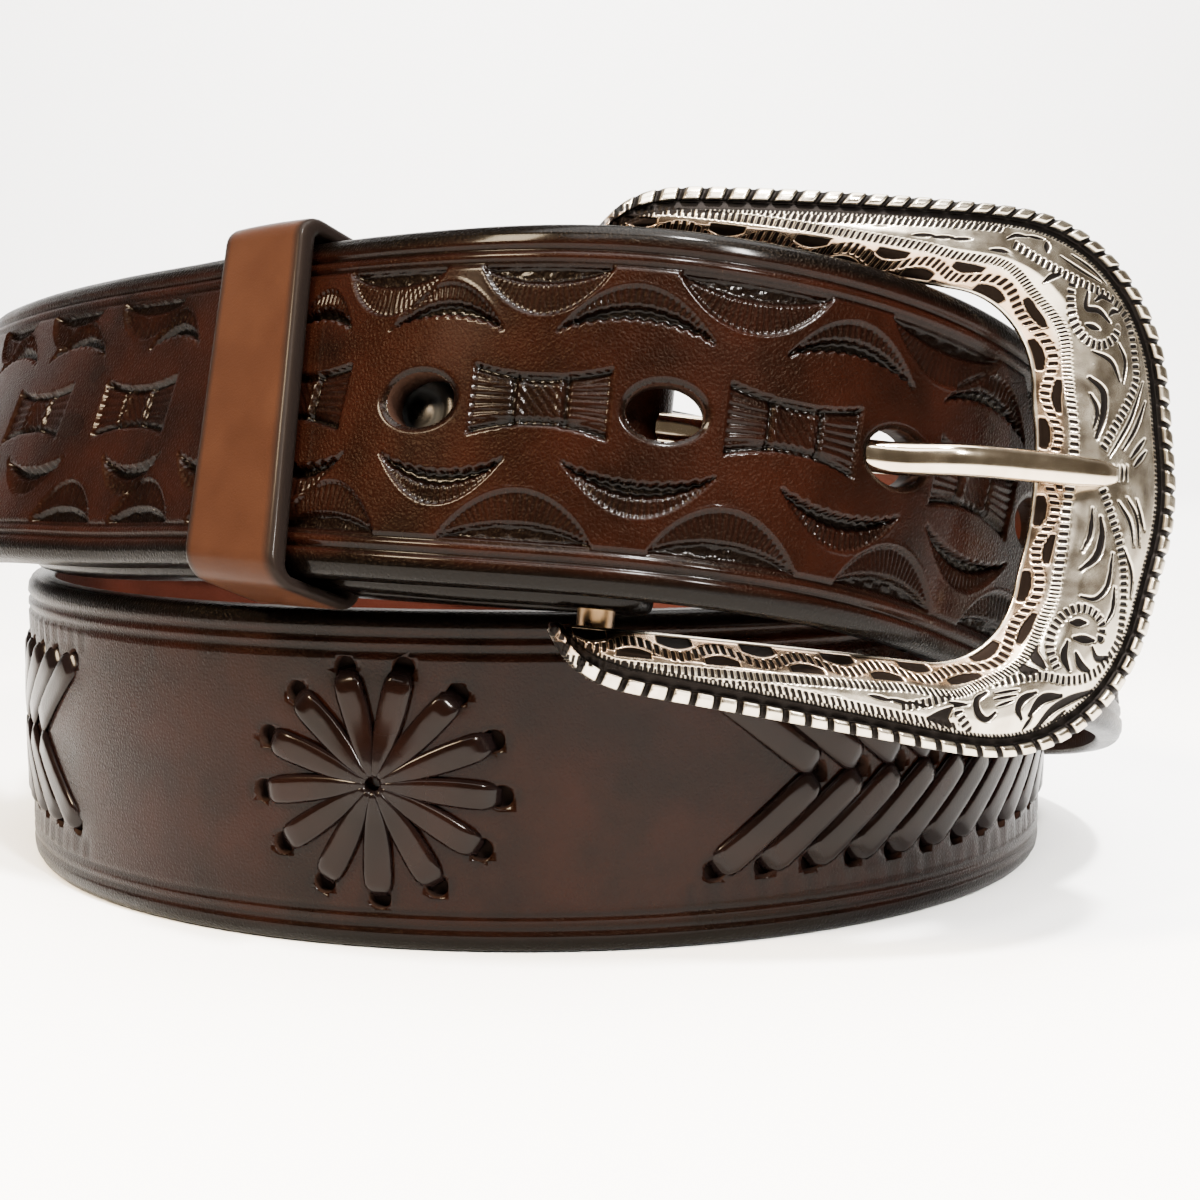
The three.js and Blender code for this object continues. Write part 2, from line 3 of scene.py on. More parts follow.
import bpy
import numpy as np
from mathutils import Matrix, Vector


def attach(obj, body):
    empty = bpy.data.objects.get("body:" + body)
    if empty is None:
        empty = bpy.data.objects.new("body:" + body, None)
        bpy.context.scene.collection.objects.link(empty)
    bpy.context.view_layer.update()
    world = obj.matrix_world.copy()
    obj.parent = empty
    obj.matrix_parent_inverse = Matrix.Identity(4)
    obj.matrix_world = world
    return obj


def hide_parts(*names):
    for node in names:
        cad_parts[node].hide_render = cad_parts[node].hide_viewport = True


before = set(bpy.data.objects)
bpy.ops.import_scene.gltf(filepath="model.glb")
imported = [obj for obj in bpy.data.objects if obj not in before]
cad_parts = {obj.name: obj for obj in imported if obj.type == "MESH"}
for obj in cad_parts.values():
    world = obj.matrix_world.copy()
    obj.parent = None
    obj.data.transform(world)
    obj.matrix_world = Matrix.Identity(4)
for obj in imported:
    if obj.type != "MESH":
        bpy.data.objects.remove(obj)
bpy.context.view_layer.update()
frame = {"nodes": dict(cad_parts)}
print("frame loaded")

mm = 0.001
fullTurn = 2 * math.pi

# Camera, floor and light

cameraView = {
    "place": (15.94, -272.94, 59.80),   # mm
    "pitchDown": 5.60,
    "focal": 58.08,
    "sensor": 36.0,
}
studio = {
    "worldDark": (0.205, 0.178, 0.142),
    "worldBright": (1.0, 0.99, 0.97),
    "floorColor": (0.95, 0.94, 0.93),
    "worldTurn": (-0.1, 0.7),           # along y, where the world turns from dark to bright
    "floorRoughness": 0.6,
    "floorFront": -4.0,                 # metres
    "floorHalfWidth": 6.0,
    "wallDistance": 1.1,
    "wallBend": 0.6,
    "wallHeight": 4.0,
    "bendSteps": 12,
    "lights": [
        # name, place, aim, size, power, colour
        ("keyLeft", (-0.50, -0.42, 0.62), (0.0, -0.05, 0.05), (0.20, 0.20), 30.0, (1.0, 0.80, 0.54)),
        ("overhead", (0.05, -0.02, 0.95), (0.03, 0.0, 0.0), (0.9, 0.5), 26.0, (1.0, 0.99, 0.97)),
        ("window", (0.30, -0.62, 0.52), (0.03, -0.06, 0.06), (0.05, 0.10), 21.0, (1.0, 0.97, 0.93)),
        ("spark", (0.12, -0.30, 0.72), (0.05, -0.07, 0.06), (0.05, 0.08), 24.0, (1.0, 0.99, 0.97)),
        ("wallGlow", (0.0, 0.55, 0.9), (0.0, 1.6, 0.5), (1.6, 0.5), 80.0, (1.0, 1.0, 1.0)),
        ("floorFront", (0.0, -0.75, 0.85), (0.0, -0.35, 0.0), (0.9, 0.2), 9.0, (1.0, 0.98, 0.95)),
    ],
}


def makeCamera():
    data = bpy.data.cameras.new("camera")
    data.lens = cameraView["focal"]
    data.sensor_width = cameraView["sensor"]
    data.clip_start = 0.01
    data.clip_end = 20
    camera = bpy.data.objects.new("camera", data)
    camera.location = Vector(cameraView["place"]) * mm
    camera.rotation_euler = (math.radians(90 - cameraView["pitchDown"]), 0, 0)
    bpy.context.scene.collection.objects.link(camera)
    bpy.context.scene.camera = camera


def makeLights():
    for name, place, aim, size, power, color in studio["lights"]:
        data = bpy.data.lights.new(name, "AREA")
        data.shape = "RECTANGLE"
        data.size, data.size_y = size
        data.energy = power
        data.color = color
        light = bpy.data.objects.new(name, data)
        light.location = place
        light.rotation_euler = (Vector(place) - Vector(aim)).to_track_quat("Z", "Y").to_euler()
        bpy.context.scene.collection.objects.link(light)
    world = bpy.data.worlds.new("studioWorld")
    world.use_nodes = True
    tree = world.node_tree
    way = tree.nodes.new("ShaderNodeSeparateXYZ")
    tree.links.new(tree.nodes.new("ShaderNodeTexCoord").outputs["Generated"], way.inputs[0])
    behind = tree.nodes.new("ShaderNodeMapRange")
    behind.inputs["From Min"].default_value, behind.inputs["From Max"].default_value = studio["worldTurn"]
    tree.links.new(way.outputs["Y"], behind.inputs["Value"])
    mix = tree.nodes.new("ShaderNodeMix")
    mix.data_type = "RGBA"
    mix.inputs[6].default_value = (*studio["worldDark"], 1)
    mix.inputs[7].default_value = (*studio["worldBright"], 1)
    tree.links.new(behind.outputs[0], mix.inputs[0])
    tree.links.new(mix.outputs[2], tree.nodes["Background"].inputs["Color"])
    bpy.context.scene.world = world


def makeFloor():
    bend, far = studio["wallBend"], studio["wallDistance"]
    steps, half = studio["bendSteps"], studio["floorHalfWidth"]
    profile = [(studio["floorFront"], 0.0), (far, 0.0)]
    for i in range(1, steps + 1):
        angle = math.pi / 2 * i / steps
        profile.append((far + bend * math.sin(angle), bend * (1 - math.cos(angle))))
    profile.append((far + bend, studio["wallHeight"]))
    points = [(x, y, z) for y, z in profile for x in (-half, half)]
    faces = [(2 * i, 2 * i + 1, 2 * i + 3, 2 * i + 2) for i in range(len(profile) - 1)]
    mesh = bpy.data.meshes.new("floor")
    mesh.from_pydata(points, [], faces)
    mesh.shade_smooth()
    floor = bpy.data.objects.new("floor", mesh)
    bpy.context.scene.collection.objects.link(floor)
    material = bpy.data.materials.new("paleFloor")
    material.use_nodes = True
    shader = material.node_tree.nodes["Principled BSDF"]
    shader.inputs["Base Color"].default_value = (*studio["floorColor"], 1)
    shader.inputs["Roughness"].default_value = studio["floorRoughness"]
    mesh.materials.append(material)


makeCamera()
makeLights()
makeFloor()
print("stage ready")

# The strap's route, as in the part: millimetres in the belt's own frame

strap = {
    "width": 38.0,
    "thickness": 3.6,
    "loopRadius": 71.2,
    "prongTurn": 27.1,
    "tipReach": 186.0,
    "tipTaper": 17.0,
    "tipBluntness": 3.0,
    "holePitch": 25.4,
    "holesEachSide": 3,
    "holeSize": (8.0, 6.0),
    "barTurn": 727.0,
    "barRadius": 2.0,
    "foldLength": 39.0,
    "foldBlend": 15.0,
    "foldNarrowing": 0.4,
    "narrowingLength": 16.0,
    "pieceGap": 0.3,
    "outerRound": 1.15,
    "innerRound": 0.8,
    "shift": (7.3374, 6.9310, 0.0),
    # turn, radius share, height share, lean
    "route": [
        (-100, 1.271, 1.461, 22), (-80, 1.110, 1.508, 24.5), (-60, 0.997, 1.563, 26),
        (-42, 0.951, 1.580, 22.5), (-25, 0.997, 1.607, 23), (-10, 1.107, 1.607, 20),
        (5, 1.192, 1.592, 12), (20, 1.237, 1.513, 8), (35, 1.203, 1.353, -2),
        (50, 1.163, 1.142, 2), (70, 1.129, 0.955, 5.5), (90, 1.087, 0.768, 7),
        (120, 1.059, 0.605, 4), (150, 1.034, 0.521, 1), (180, 1.017, 0.5, 0),
        (270, 1.003, 0.5, 0), (435, 1, 0.5, 0), (450, 0.980, 0.579, 0),
        (480, 0.958, 0.816, 0), (510, 0.944, 1, 0), (540, 0.934, 1.171, 0),
        (570, 0.930, 1.311, 0), (600, 0.928, 1.421, 0), (615, 0.930, 1.495, 3),
        (630, 0.933, 1.532, 7), (645, 0.927, 1.516, 14), (660, 0.907, 1.522, 21),
        (678, 0.909, 1.537, 22.7), (696, 0.941, 1.564, 22.6), (711, 1.039, 1.562, 18.6),
        (721, 1.100, 1.545, 13), (728.4, 1.133, 1.521, 8.3), (736, 1.154, 1.492, 6.5),
    ],
    "easing": [(-8, 1), (-4, 2), (0, 3), (4, 2), (8, 1)],
}
halfWidth = strap["width"] / 2
thickness = strap["thickness"]


def rowCurve(column):
    turns = np.array([row[0] for row in strap["route"]], float)
    values = np.array([row[column] for row in strap["route"]], float)
    spans = np.diff(turns)
    rise = np.diff(values) / spans
    slopes = np.zeros(len(values))
    slopes[0], slopes[-1] = rise[0], rise[-1]
    first, second = 2 * spans[1:] + spans[:-1], spans[1:] + 2 * spans[:-1]
    for i in range(len(spans) - 1):
        if rise[i] * rise[i + 1] > 0:
            slopes[i + 1] = (first[i] + second[i]) / (first[i] / rise[i] + second[i] / rise[i + 1])

    def plain(turn):
        i = np.clip(np.searchsorted(turns, turn, side="right") - 1, 0, len(spans) - 1)
        u = (turn - turns[i]) / spans[i]
        curve = ((2 * u ** 3 - 3 * u ** 2 + 1) * values[i] + (u ** 3 - 2 * u ** 2 + u) * spans[i] * slopes[i]
                 + (3 * u ** 2 - 2 * u ** 3) * values[i + 1] + (u ** 3 - u ** 2) * spans[i] * slopes[i + 1])
        curve = np.where(turn < turns[0], values[0] + (turn - turns[0]) * slopes[0], curve)
        return np.where(turn > turns[-1], values[-1] + (turn - turns[-1]) * slopes[-1], curve)

    total = sum(weight for _, weight in strap["easing"])
    return lambda turn: sum(weight * plain(turn + shift) for shift, weight in strap["easing"]) / total


radiusAt, heightAt, leanAt = rowCurve(1), rowCurve(2), rowCurve(3)


def unit(v):
    return v / np.linalg.norm(v, axis=-1, keepdims=True)


def facePoint(turn):
    angle = np.radians(turn)
    radius = radiusAt(turn) * strap["loopRadius"]
    return np.stack([np.sin(angle) * radius, -np.cos(angle) * radius, heightAt(turn) * strap["width"]], -1)


def strapFrame(turn):
    turn = np.atleast_1d(np.asarray(turn, float))
    angle, lean = np.radians(turn), np.radians(leanAt(turn))
    along = unit(facePoint(turn + 0.1) - facePoint(turn - 0.1))
    across = np.stack([-np.sin(angle) * np.sin(lean), np.cos(angle) * np.sin(lean), np.cos(lean)], -1)
    across = unit(across - along * np.sum(along * across, -1, keepdims=True))
    return facePoint(turn), along, across, np.cross(along, across)


tableTurns = np.arange(strap["route"][0][0] - 30, strap["barTurn"] + 6.01, 0.5)
tablePoint, _, _, tableOut = strapFrame(tableTurns)
tableMiddle = tablePoint - tableOut * thickness / 2
tableLengths = np.concatenate([[0], np.cumsum(np.linalg.norm(np.diff(tableMiddle, axis=0), axis=1))])
tableLengths += strap["tipReach"] - np.interp(strap["prongTurn"], tableTurns, tableLengths)


def turnOf(length):
    return np.interp(length, tableLengths, tableTurns)


def lengthOf(turn):
    return float(np.interp(turn, tableTurns, tableLengths))


barLength = lengthOf(strap["barTurn"])


def onStrap(length, across, above):
    point, _, acrossWay, out = strapFrame(turnOf(np.ravel(length)))
    flat = point + acrossWay * np.ravel(across)[:, None] + out * np.ravel(above)[:, None]
    return flat.reshape(*np.shape(length), 3)


# Meshes

def smoothStep(x, low, high):
    u = np.clip((np.asarray(x, float) - low) / (high - low), 0, 1)
    return u * u * (3 - 2 * u)


def makeObject(name, mesh, replaced):
    item = bpy.data.objects.new(name, mesh)
    bpy.context.scene.collection.objects.link(item)
    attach(item, "root")
    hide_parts(replaced)
    return item


def makeMesh(name, points, faces, masks=None, materials=(), indices=None):
    mesh = bpy.data.meshes.new(name)
    shifted = (np.asarray(points, float).reshape(-1, 3) + np.array(strap["shift"])) * mm
    mesh.from_pydata(shifted.tolist(), [], faces.tolist() if hasattr(faces, "tolist") else faces)
    for key, values in (masks or {}).items():
        layer = mesh.attributes.new(key, "FLOAT", "POINT")
        layer.data.foreach_set("value", np.ravel(values).astype(np.float32))
    for material in materials:
        mesh.materials.append(material)
    if indices is not None:
        mesh.polygons.foreach_set("material_index", np.asarray(indices, np.int32))
    mesh.polygons.foreach_set("use_smooth", [len(face) < 6 for face in faces])
    mesh.update()
    return mesh


def gridFaces(rows, columns, wrapRows=False, start=0):
    i = np.arange(rows if wrapRows else rows - 1)[:, None]
    j = np.arange(columns)[None, :]
    a = i * columns + j
    b = i * columns + (j + 1) % columns
    c = ((i + 1) % rows) * columns + (j + 1) % columns
    d = ((i + 1) % rows) * columns + j
    return np.stack([a, b, c, d], -1).reshape(-1, 4) + start


# Skin over sections, an array of rows by points round by 3
def tube(name, sections, masks=None, materials=(), closed=False, indices=None):
    sections = np.asarray(sections, float)
    rows, columns = sections.shape[:2]
    faces = gridFaces(rows, columns, wrapRows=closed).tolist()
    if not closed:
        faces.append(list(range(columns))[::-1])
        faces.append([(rows - 1) * columns + j for j in range(columns)])
    return makeMesh(name, sections, faces, masks, materials, indices)


# One mesh of several that share their materials and masks
def joinMeshes(name, meshes):
    objects = [bpy.data.objects.new(f"{name}{i}", mesh) for i, mesh in enumerate(meshes)]
    for item in objects:
        bpy.context.scene.collection.objects.link(item)
    with bpy.context.temp_override(active_object=objects[0], object=objects[0], selected_objects=objects,
                                   selected_editable_objects=objects):
        bpy.ops.object.join()
    mesh = objects[0].data
    mesh.name = name
    bpy.data.objects.remove(objects[0])
    return mesh


# Finishes

def newGroup(name, inputs, outputs):
    group = bpy.data.node_groups.new(name, "ShaderNodeTree")
    for label, kind, value in inputs:
        item = group.interface.new_socket(name=label, in_out="INPUT", socket_type=kind)
        if value is not None:
            item.default_value = value
    for label, kind in outputs:
        group.interface.new_socket(name=label, in_out="OUTPUT", socket_type=kind)
    return group, group.nodes.new("NodeGroupInput"), group.nodes.new("NodeGroupOutput")


def addNode(tree, kind, inputs=None, **settings):
    node = tree.nodes.new(kind)
    for key, value in settings.items():
        setattr(node, key, value)
    for key, value in (inputs or {}).items():
        if isinstance(value, bpy.types.NodeSocket):
            tree.links.new(value, node.inputs[key])
        else:
            node.inputs[key].default_value = value
    return node


def mathNode(tree, operation, a, b=0.0):
    return addNode(tree, "ShaderNodeMath", {0: a, 1: b}, operation=operation).outputs[0]


def mixColor(tree, factor, a, b, blend="MIX"):
    node = addNode(tree, "ShaderNodeMix", data_type="RGBA", blend_type=blend)
    for key, value in (("Factor", factor), ("A", a), ("B", b)):
        socket = next(s for s in node.inputs if s.name == key and s.enabled)
        if isinstance(value, bpy.types.NodeSocket):
            tree.links.new(value, socket)
        else:
            socket.default_value = value
    return next(s for s in node.outputs if s.enabled)


grain = {
    "randomness": 0.9,
    "pebbleGain": 2.6,                  # how soon a pebble rises from its crease
    "fineScale": 1.7,                   # against the pebbles' scale, as the next is
    "patchScale": 0.06,
    "fineDetail": 3.0,
    "fineShare": 0.8,
    "patchDetail": 2.0,
    "patchRange": (0.3, 0.7),           # from the deep colour to the light one
}


# Pebbled leather grain: fine cells broken by a softer noise
def makeGrainGroup():
    group, source, result = newGroup("leatherGrain", [
        ("Vector", "NodeSocketVector", None), ("Scale", "NodeSocketFloat", 1500.0),
        ("Crease", "NodeSocketFloat", 0.5)], [("Height", "NodeSocketFloat"), ("Patches", "NodeSocketFloat")])
    place, scale, crease = (source.outputs[key] for key in ("Vector", "Scale", "Crease"))

    def scaled(value, share):
        return mathNode(group, "MULTIPLY", value, share)

    def noise(size, detail):
        return addNode(group, "ShaderNodeTexNoise", {"Vector": place, "Scale": scaled(scale, size),
                       "Detail": detail}).outputs["Fac"]

    cells = addNode(group, "ShaderNodeTexVoronoi", {"Vector": place, "Scale": scale,
                    "Randomness": grain["randomness"]}, feature="DISTANCE_TO_EDGE")
    pebble = mathNode(group, "MINIMUM", scaled(cells.outputs["Distance"], grain["pebbleGain"]), 1.0)
    fine = scaled(noise(grain["fineScale"], grain["fineDetail"]), grain["fineShare"])
    height = mathNode(group, "ADD", scaled(pebble, crease), fine)
    group.links.new(height, result.inputs["Height"])
    group.links.new(noise(grain["patchScale"], grain["patchDetail"]), result.inputs["Patches"])
    return group


def spread(tree, value, low, high):
    start, stop = grain["patchRange"]
    return addNode(tree, "ShaderNodeMapRange", {"Value": value, "From Min": start, "From Max": stop,
                   "To Min": low, "To Max": high}).outputs[0]


# Dark antique dye that stays in cuts and on edges, over a colour that varies in patches. The same cut mask
# also carries painted shade: at the laces' ends and sides, and beside the buckle's rope
def makeDyeAndShadeGroup():
    group, source, result = newGroup("antiqueDyeAndPaintedShade", [
        ("Light", "NodeSocketColor", (0.2, 0.09, 0.05, 1)),
        ("Deep", "NodeSocketColor", (0.1, 0.04, 0.02, 1)),
        ("Dye", "NodeSocketColor", (0.01, 0.008, 0.007, 1)), ("Patches", "NodeSocketFloat", 0.5),
        ("Cut", "NodeSocketFloat", 0.0), ("Edge", "NodeSocketFloat", 0.0),
        ("Hold", "NodeSocketFloat", 0.85)], [("Color", "NodeSocketColor"), ("Dyed", "NodeSocketFloat")])
    given = source.outputs
    base = mixColor(group, spread(group, given["Patches"], 0.0, 1.0), given["Deep"], given["Light"])
    marked = mathNode(group, "MAXIMUM", given["Cut"], given["Edge"])
    held = addNode(group, "ShaderNodeClamp", {"Value": mathNode(group, "MULTIPLY", marked, given["Hold"])})
    group.links.new(mixColor(group, held.outputs[0], base, given["Dye"]), result.inputs["Color"])
    group.links.new(held.outputs[0], result.inputs["Dyed"])
    return group


grainGroup = makeGrainGroup()
dyeAndShadeGroup = makeDyeAndShadeGroup()

leathers = {
    "tooledLeather": {"light": (0.0056, 0.0013, 0.0006), "deep": (0.0020, 0.0006, 0.0003),
                      "dye": (0.0003, 0.00025, 0.0002), "scale": 2100, "crease": 0.5, "bump": 0.50,
                      "rough": (0.27, 0.36), "coat": 0.085, "hold": 0.95},
    "fleshLeather": {"light": (0.040, 0.010, 0.006), "deep": (0.02, 0.0055, 0.0035),
                     "dye": (0.02, 0.01, 0.008), "scale": 900, "crease": 0.3, "bump": 0.5,
                     "rough": (0.62, 0.75), "coat": 0.0, "hold": 0.8},
    "holeWall": {"light": (0.012, 0.006, 0.004), "deep": (0.008, 0.004, 0.003),
                 "dye": (0.003, 0.002, 0.002), "scale": 900, "crease": 0.3, "bump": 0.3,
                 "rough": (0.45, 0.6), "coat": 0.0, "hold": 0.8},
    "keeperLeather": {"light": (0.020, 0.0078, 0.0040), "deep": (0.015, 0.0057, 0.0030),
                      "dye": (0.004, 0.003, 0.0026), "scale": 2400, "crease": 0.2, "bump": 0.14,
                      "rough": (0.32, 0.40), "coat": 0.03, "hold": 0.97},
    "laceLeather": {"light": (0.0042, 0.0015, 0.0010), "deep": (0.0016, 0.0007, 0.0005),
                    "dye": (0.003, 0.002, 0.002), "scale": 1800, "crease": 0.25, "bump": 0.14,
                    "rough": (0.20, 0.30), "coat": 0.12, "hold": 0.93},
}
polish = {
    "coatRoughness": 0.13,
    "specular": 0.015,
    "specularTint": (1.0, 0.74, 0.52, 1),
    "bumpDistance": 0.0002,             # metres
}


def makeLeather(name):
    look = leathers[name]
    material = bpy.data.materials.new(name)
    material.use_nodes = True
    tree = material.node_tree
    shader = tree.nodes["Principled BSDF"]
    place = addNode(tree, "ShaderNodeTexCoord").outputs["Object"]
    pebbles = addNode(tree, "ShaderNodeGroup", node_tree=grainGroup)
    tree.links.new(place, pebbles.inputs["Vector"])
    pebbles.inputs["Scale"].default_value = look["scale"]
    pebbles.inputs["Crease"].default_value = look["crease"]
    dye = addNode(tree, "ShaderNodeGroup", node_tree=dyeAndShadeGroup)
    for key in ("Light", "Deep", "Dye"):
        dye.inputs[key].default_value = (*look[key.lower()], 1)
    dye.inputs["Hold"].default_value = look["hold"]
    tree.links.new(pebbles.outputs["Patches"], dye.inputs["Patches"])
    for key in ("cut", "edge"):
        mask = addNode(tree, "ShaderNodeAttribute", attribute_name=key)
        tree.links.new(mask.outputs["Fac"], dye.inputs[key.capitalize()])
    tree.links.new(dye.outputs["Color"], shader.inputs["Base Color"])
    tree.links.new(spread(tree, pebbles.outputs["Patches"], *look["rough"]), shader.inputs["Roughness"])
    bump = addNode(tree, "ShaderNodeBump", {"Strength": look["bump"], "Distance": polish["bumpDistance"],
                   "Height": pebbles.outputs["Height"]})
    tree.links.new(bump.outputs["Normal"], shader.inputs["Normal"])
    shader.inputs["Coat Weight"].default_value = look["coat"]
    shader.inputs["Coat Roughness"].default_value = polish["coatRoughness"]
    shader.inputs["Specular IOR Level"].default_value = polish["specular"]
    shader.inputs["Specular Tint"].default_value = polish["specularTint"]
    return material


metals = {
    "antiqueSilver": {"bright": (0.56, 0.50, 0.40), "dull": (0.36, 0.305, 0.235),
                      "dark": (0.006, 0.005, 0.0045), "rough": (0.16, 0.28), "darkRough": 0.55,
                      "scale": 420, "bump": 0.05},
    "prongMetal": {"bright": (0.60, 0.50, 0.37), "dull": (0.42, 0.34, 0.245),
                   "dark": (0.03, 0.025, 0.02), "rough": (0.09, 0.17), "darkRough": 0.4,
                   "scale": 300, "bump": 0.03},
    "barBrass": {"bright": (0.12, 0.075, 0.035), "dull": (0.05, 0.03, 0.018),
                 "dark": (0.02, 0.015, 0.01), "rough": (0.25, 0.4), "darkRough": 0.6,
                 "scale": 500, "bump": 0.06},
    "snapMetal": {"bright": (0.035, 0.032, 0.030), "dull": (0.015, 0.014, 0.013),
                  "dark": (0.02, 0.02, 0.02), "rough": (0.25, 0.4), "darkRough": 0.6,
                  "scale": 500, "bump": 0.06},
}
metalWearAndReflection = {
    "detail": 4.0,
    "cutRange": (0.14, 0.5),            # where the black in a cut starts and is full
    # colour of the painted reflection of the leather on the buckle frame's inner slope
    "leatherReflectionColor": (0.62, 0.36, 0.19, 1),
    "bumpDistance": 0.0001,             # metres
}


def makeMetal(name):
    look = metals[name]
    material = bpy.data.materials.new(name)
    material.use_nodes = True
    tree = material.node_tree
    shader = tree.nodes["Principled BSDF"]
    place = addNode(tree, "ShaderNodeTexCoord").outputs["Object"]
    wear = addNode(tree, "ShaderNodeTexNoise", {"Vector": place, "Scale": float(look["scale"]),
                   "Detail": metalWearAndReflection["detail"]})
    dye = addNode(tree, "ShaderNodeGroup", node_tree=dyeAndShadeGroup)
    dye.inputs["Light"].default_value = (*look["bright"], 1)
    dye.inputs["Deep"].default_value = (*look["dull"], 1)
    dye.inputs["Dye"].default_value = (*look["dark"], 1)
    dye.inputs["Hold"].default_value = 1.0
    tree.links.new(wear.outputs["Fac"], dye.inputs["Patches"])
    mask = addNode(tree, "ShaderNodeAttribute", attribute_name="cut")
    crisp = addNode(tree, "ShaderNodeMapRange", {"Value": mask.outputs["Fac"],
                    "From Min": metalWearAndReflection["cutRange"][0], "From Max": metalWearAndReflection["cutRange"][1]})
    tree.links.new(crisp.outputs[0], dye.inputs["Cut"])
    # Painted reflection of the leather strap: a warm tint on the buckle frame's inner slope
    leatherReflection = addNode(tree, "ShaderNodeAttribute", attribute_name="leatherReflection")
    tinted = mixColor(tree, leatherReflection.outputs["Fac"], dye.outputs["Color"], metalWearAndReflection["leatherReflectionColor"], "MULTIPLY")
    tree.links.new(tinted, shader.inputs["Base Color"])
    bare = spread(tree, wear.outputs["Fac"], *look["rough"])
    rough = addNode(tree, "ShaderNodeMapRange", {"Value": dye.outputs["Dyed"], "To Min": bare,
                    "To Max": look["darkRough"]})
    tree.links.new(rough.outputs[0], shader.inputs["Roughness"])
    bump = addNode(tree, "ShaderNodeBump", {"Strength": look["bump"], "Distance": metalWearAndReflection["bumpDistance"],
                   "Height": wear.outputs["Fac"]})
    tree.links.new(bump.outputs["Normal"], shader.inputs["Normal"])
    shader.inputs["Metallic"].default_value = 1.0
    return material


finish = {name: makeLeather(name) for name in leathers}
finish.update({name: makeMetal(name) for name in metals})
print("finishes ready")

# Tooling stamped into the strap: length from the tip, height across, both in mm

tooling = {
    "grooves": [(2.9, 0.6, 0.50), (4.35, 0.5, 0.42)],   # from the edge, width, depth
    "domeBase": 14.3,
    "domeHeight": 5.2,
    "domes": [36.5, 57, 80.4, 95.7, 111.2, 126.7, 146.9, 167.8, 188.0, 208.4, 228.8, 249.2, 269.6, 290.0],
    "hanging": [30.5, 49, 68, 86, 107, 129.3, 147.5, 168.3, 190.3, 210.7, 231.1, 251.5, 271.9, 292.3],
    "upperRow": 7.6,
    "upper": [36, 54, 71.6, 93.0, 106, 119.5, 136.9, 157.0, 179.2, 198.2, 218.6, 239.0, 259.4, 279.8],
    "lowerRow": -6.0,
    "lower": [34.5, 52.5, 70.5, 91.0, 106, 121.5, 138.5, 158.6, 180.2, 199.5, 219.9, 240.3, 260.7, 281.1],
    "bowTies": [24, 44, 66.5, 88.5, 118.8, 148.1, 173.7, 198.7, 224.1, 249.5],
    "bowTieHeight": 0.2,
    "stampWidth": 15.2,
    "crescentWidth": 15.4,
    "crescentHeight": 5.0,
    "usualPitch": 20.0,                 # stamps closer than this are narrower
}
holePlaces = [strap["tipReach"] + i * strap["holePitch"]
              for i in range(-strap["holesEachSide"], strap["holesEachSide"] + 1)]


dome = {
    "fullness": 0.85,
    "fanDrop": 6.0,                     # the ribs fan out from this far below the base
    "fanRibs": 10.0,
    "beadedShare": 0.34,                # of the height, from the base
    "floor": 0.34,
    "beadedFloor": 0.34,
    "ribRise": 0.17,
    "beadRise": 0.13,
    "rim": (0.22, 0.16, 0.09),          # beyond the arc, width, height
    "depth": 1.45,
}
crescent = {
    "toothPitch": 1.25,
    "toothRise": 0.64,
    "hollow": 0.30,                     # the inner edge's rise as a share of the outer one's
    "fanDrop": 7.0,
    "fanRibs": 10.6,
    "deepShare": 0.38,
    "floor": 0.30,
    "deepFloor": 0.42,
    "ribRise": 0.19,
    "rim": (0.2, 0.16, 0.08),
    "depth": 1.45,
}
bowTie = {
    "half": 7.0,
    "waist": 2.55,
    "flare": 1.15,
    "wingStart": 2.8,
    "bar": (2.0, 0.34),                 # place and width of the two raised bars
    "slit": (2.72, 0.22),
    "floor": 0.34,
    "depth": 1.4,
}


# Uneven beads, the same each run
def roughBeads(x, y):
    return (np.sin(7.1 * x + 2.3 * np.sin(3.7 * y)) * np.sin(8.3 * y + 1.9 * np.sin(4.9 * x)) * 0.6
            + np.sin(12.7 * x - 5.1 * y) * 0.4)


def softInside(distance, blur=0.14):
    return smoothStep(distance, -blur, blur)


def ridge(distance, width):
    return np.exp(-(distance / width) ** 2)


def wave01(phase):
    return 0.5 + 0.5 * np.cos(fullTurn * phase)


def domeStamp(x, y, half, rise, pitch):
    d = dome
    arc = rise * np.clip(1 - (x / half) ** 2, 0, None) ** d["fullness"]
    within = np.abs(x) < half
    inside = softInside(np.minimum(arc - y, y)) * within
    level = np.clip(y / np.maximum(arc, 0.3), 0, 1)
    ribs = wave01(np.arctan2(x, y + d["fanDrop"]) * d["fanRibs"] / pitch)
    beaded = smoothStep(d["beadedShare"] - level, -0.06, 0.06)
    depth = inside * (d["floor"] + d["beadedFloor"] * beaded
                      - (1 - beaded) * ribs * d["ribRise"] * (1 - 0.3 * level)
                      + beaded * d["beadRise"] * roughBeads(x, y))
    beyond, width, height = d["rim"]
    rim = ridge(y - arc - beyond, width) * within * (y > 0)
    cut = inside * np.clip(0.42 + 0.45 * beaded + (0.5 - ribs) * 0.45 * (1 - beaded), 0, 1)
    return height * rim - d["depth"] * depth, cut


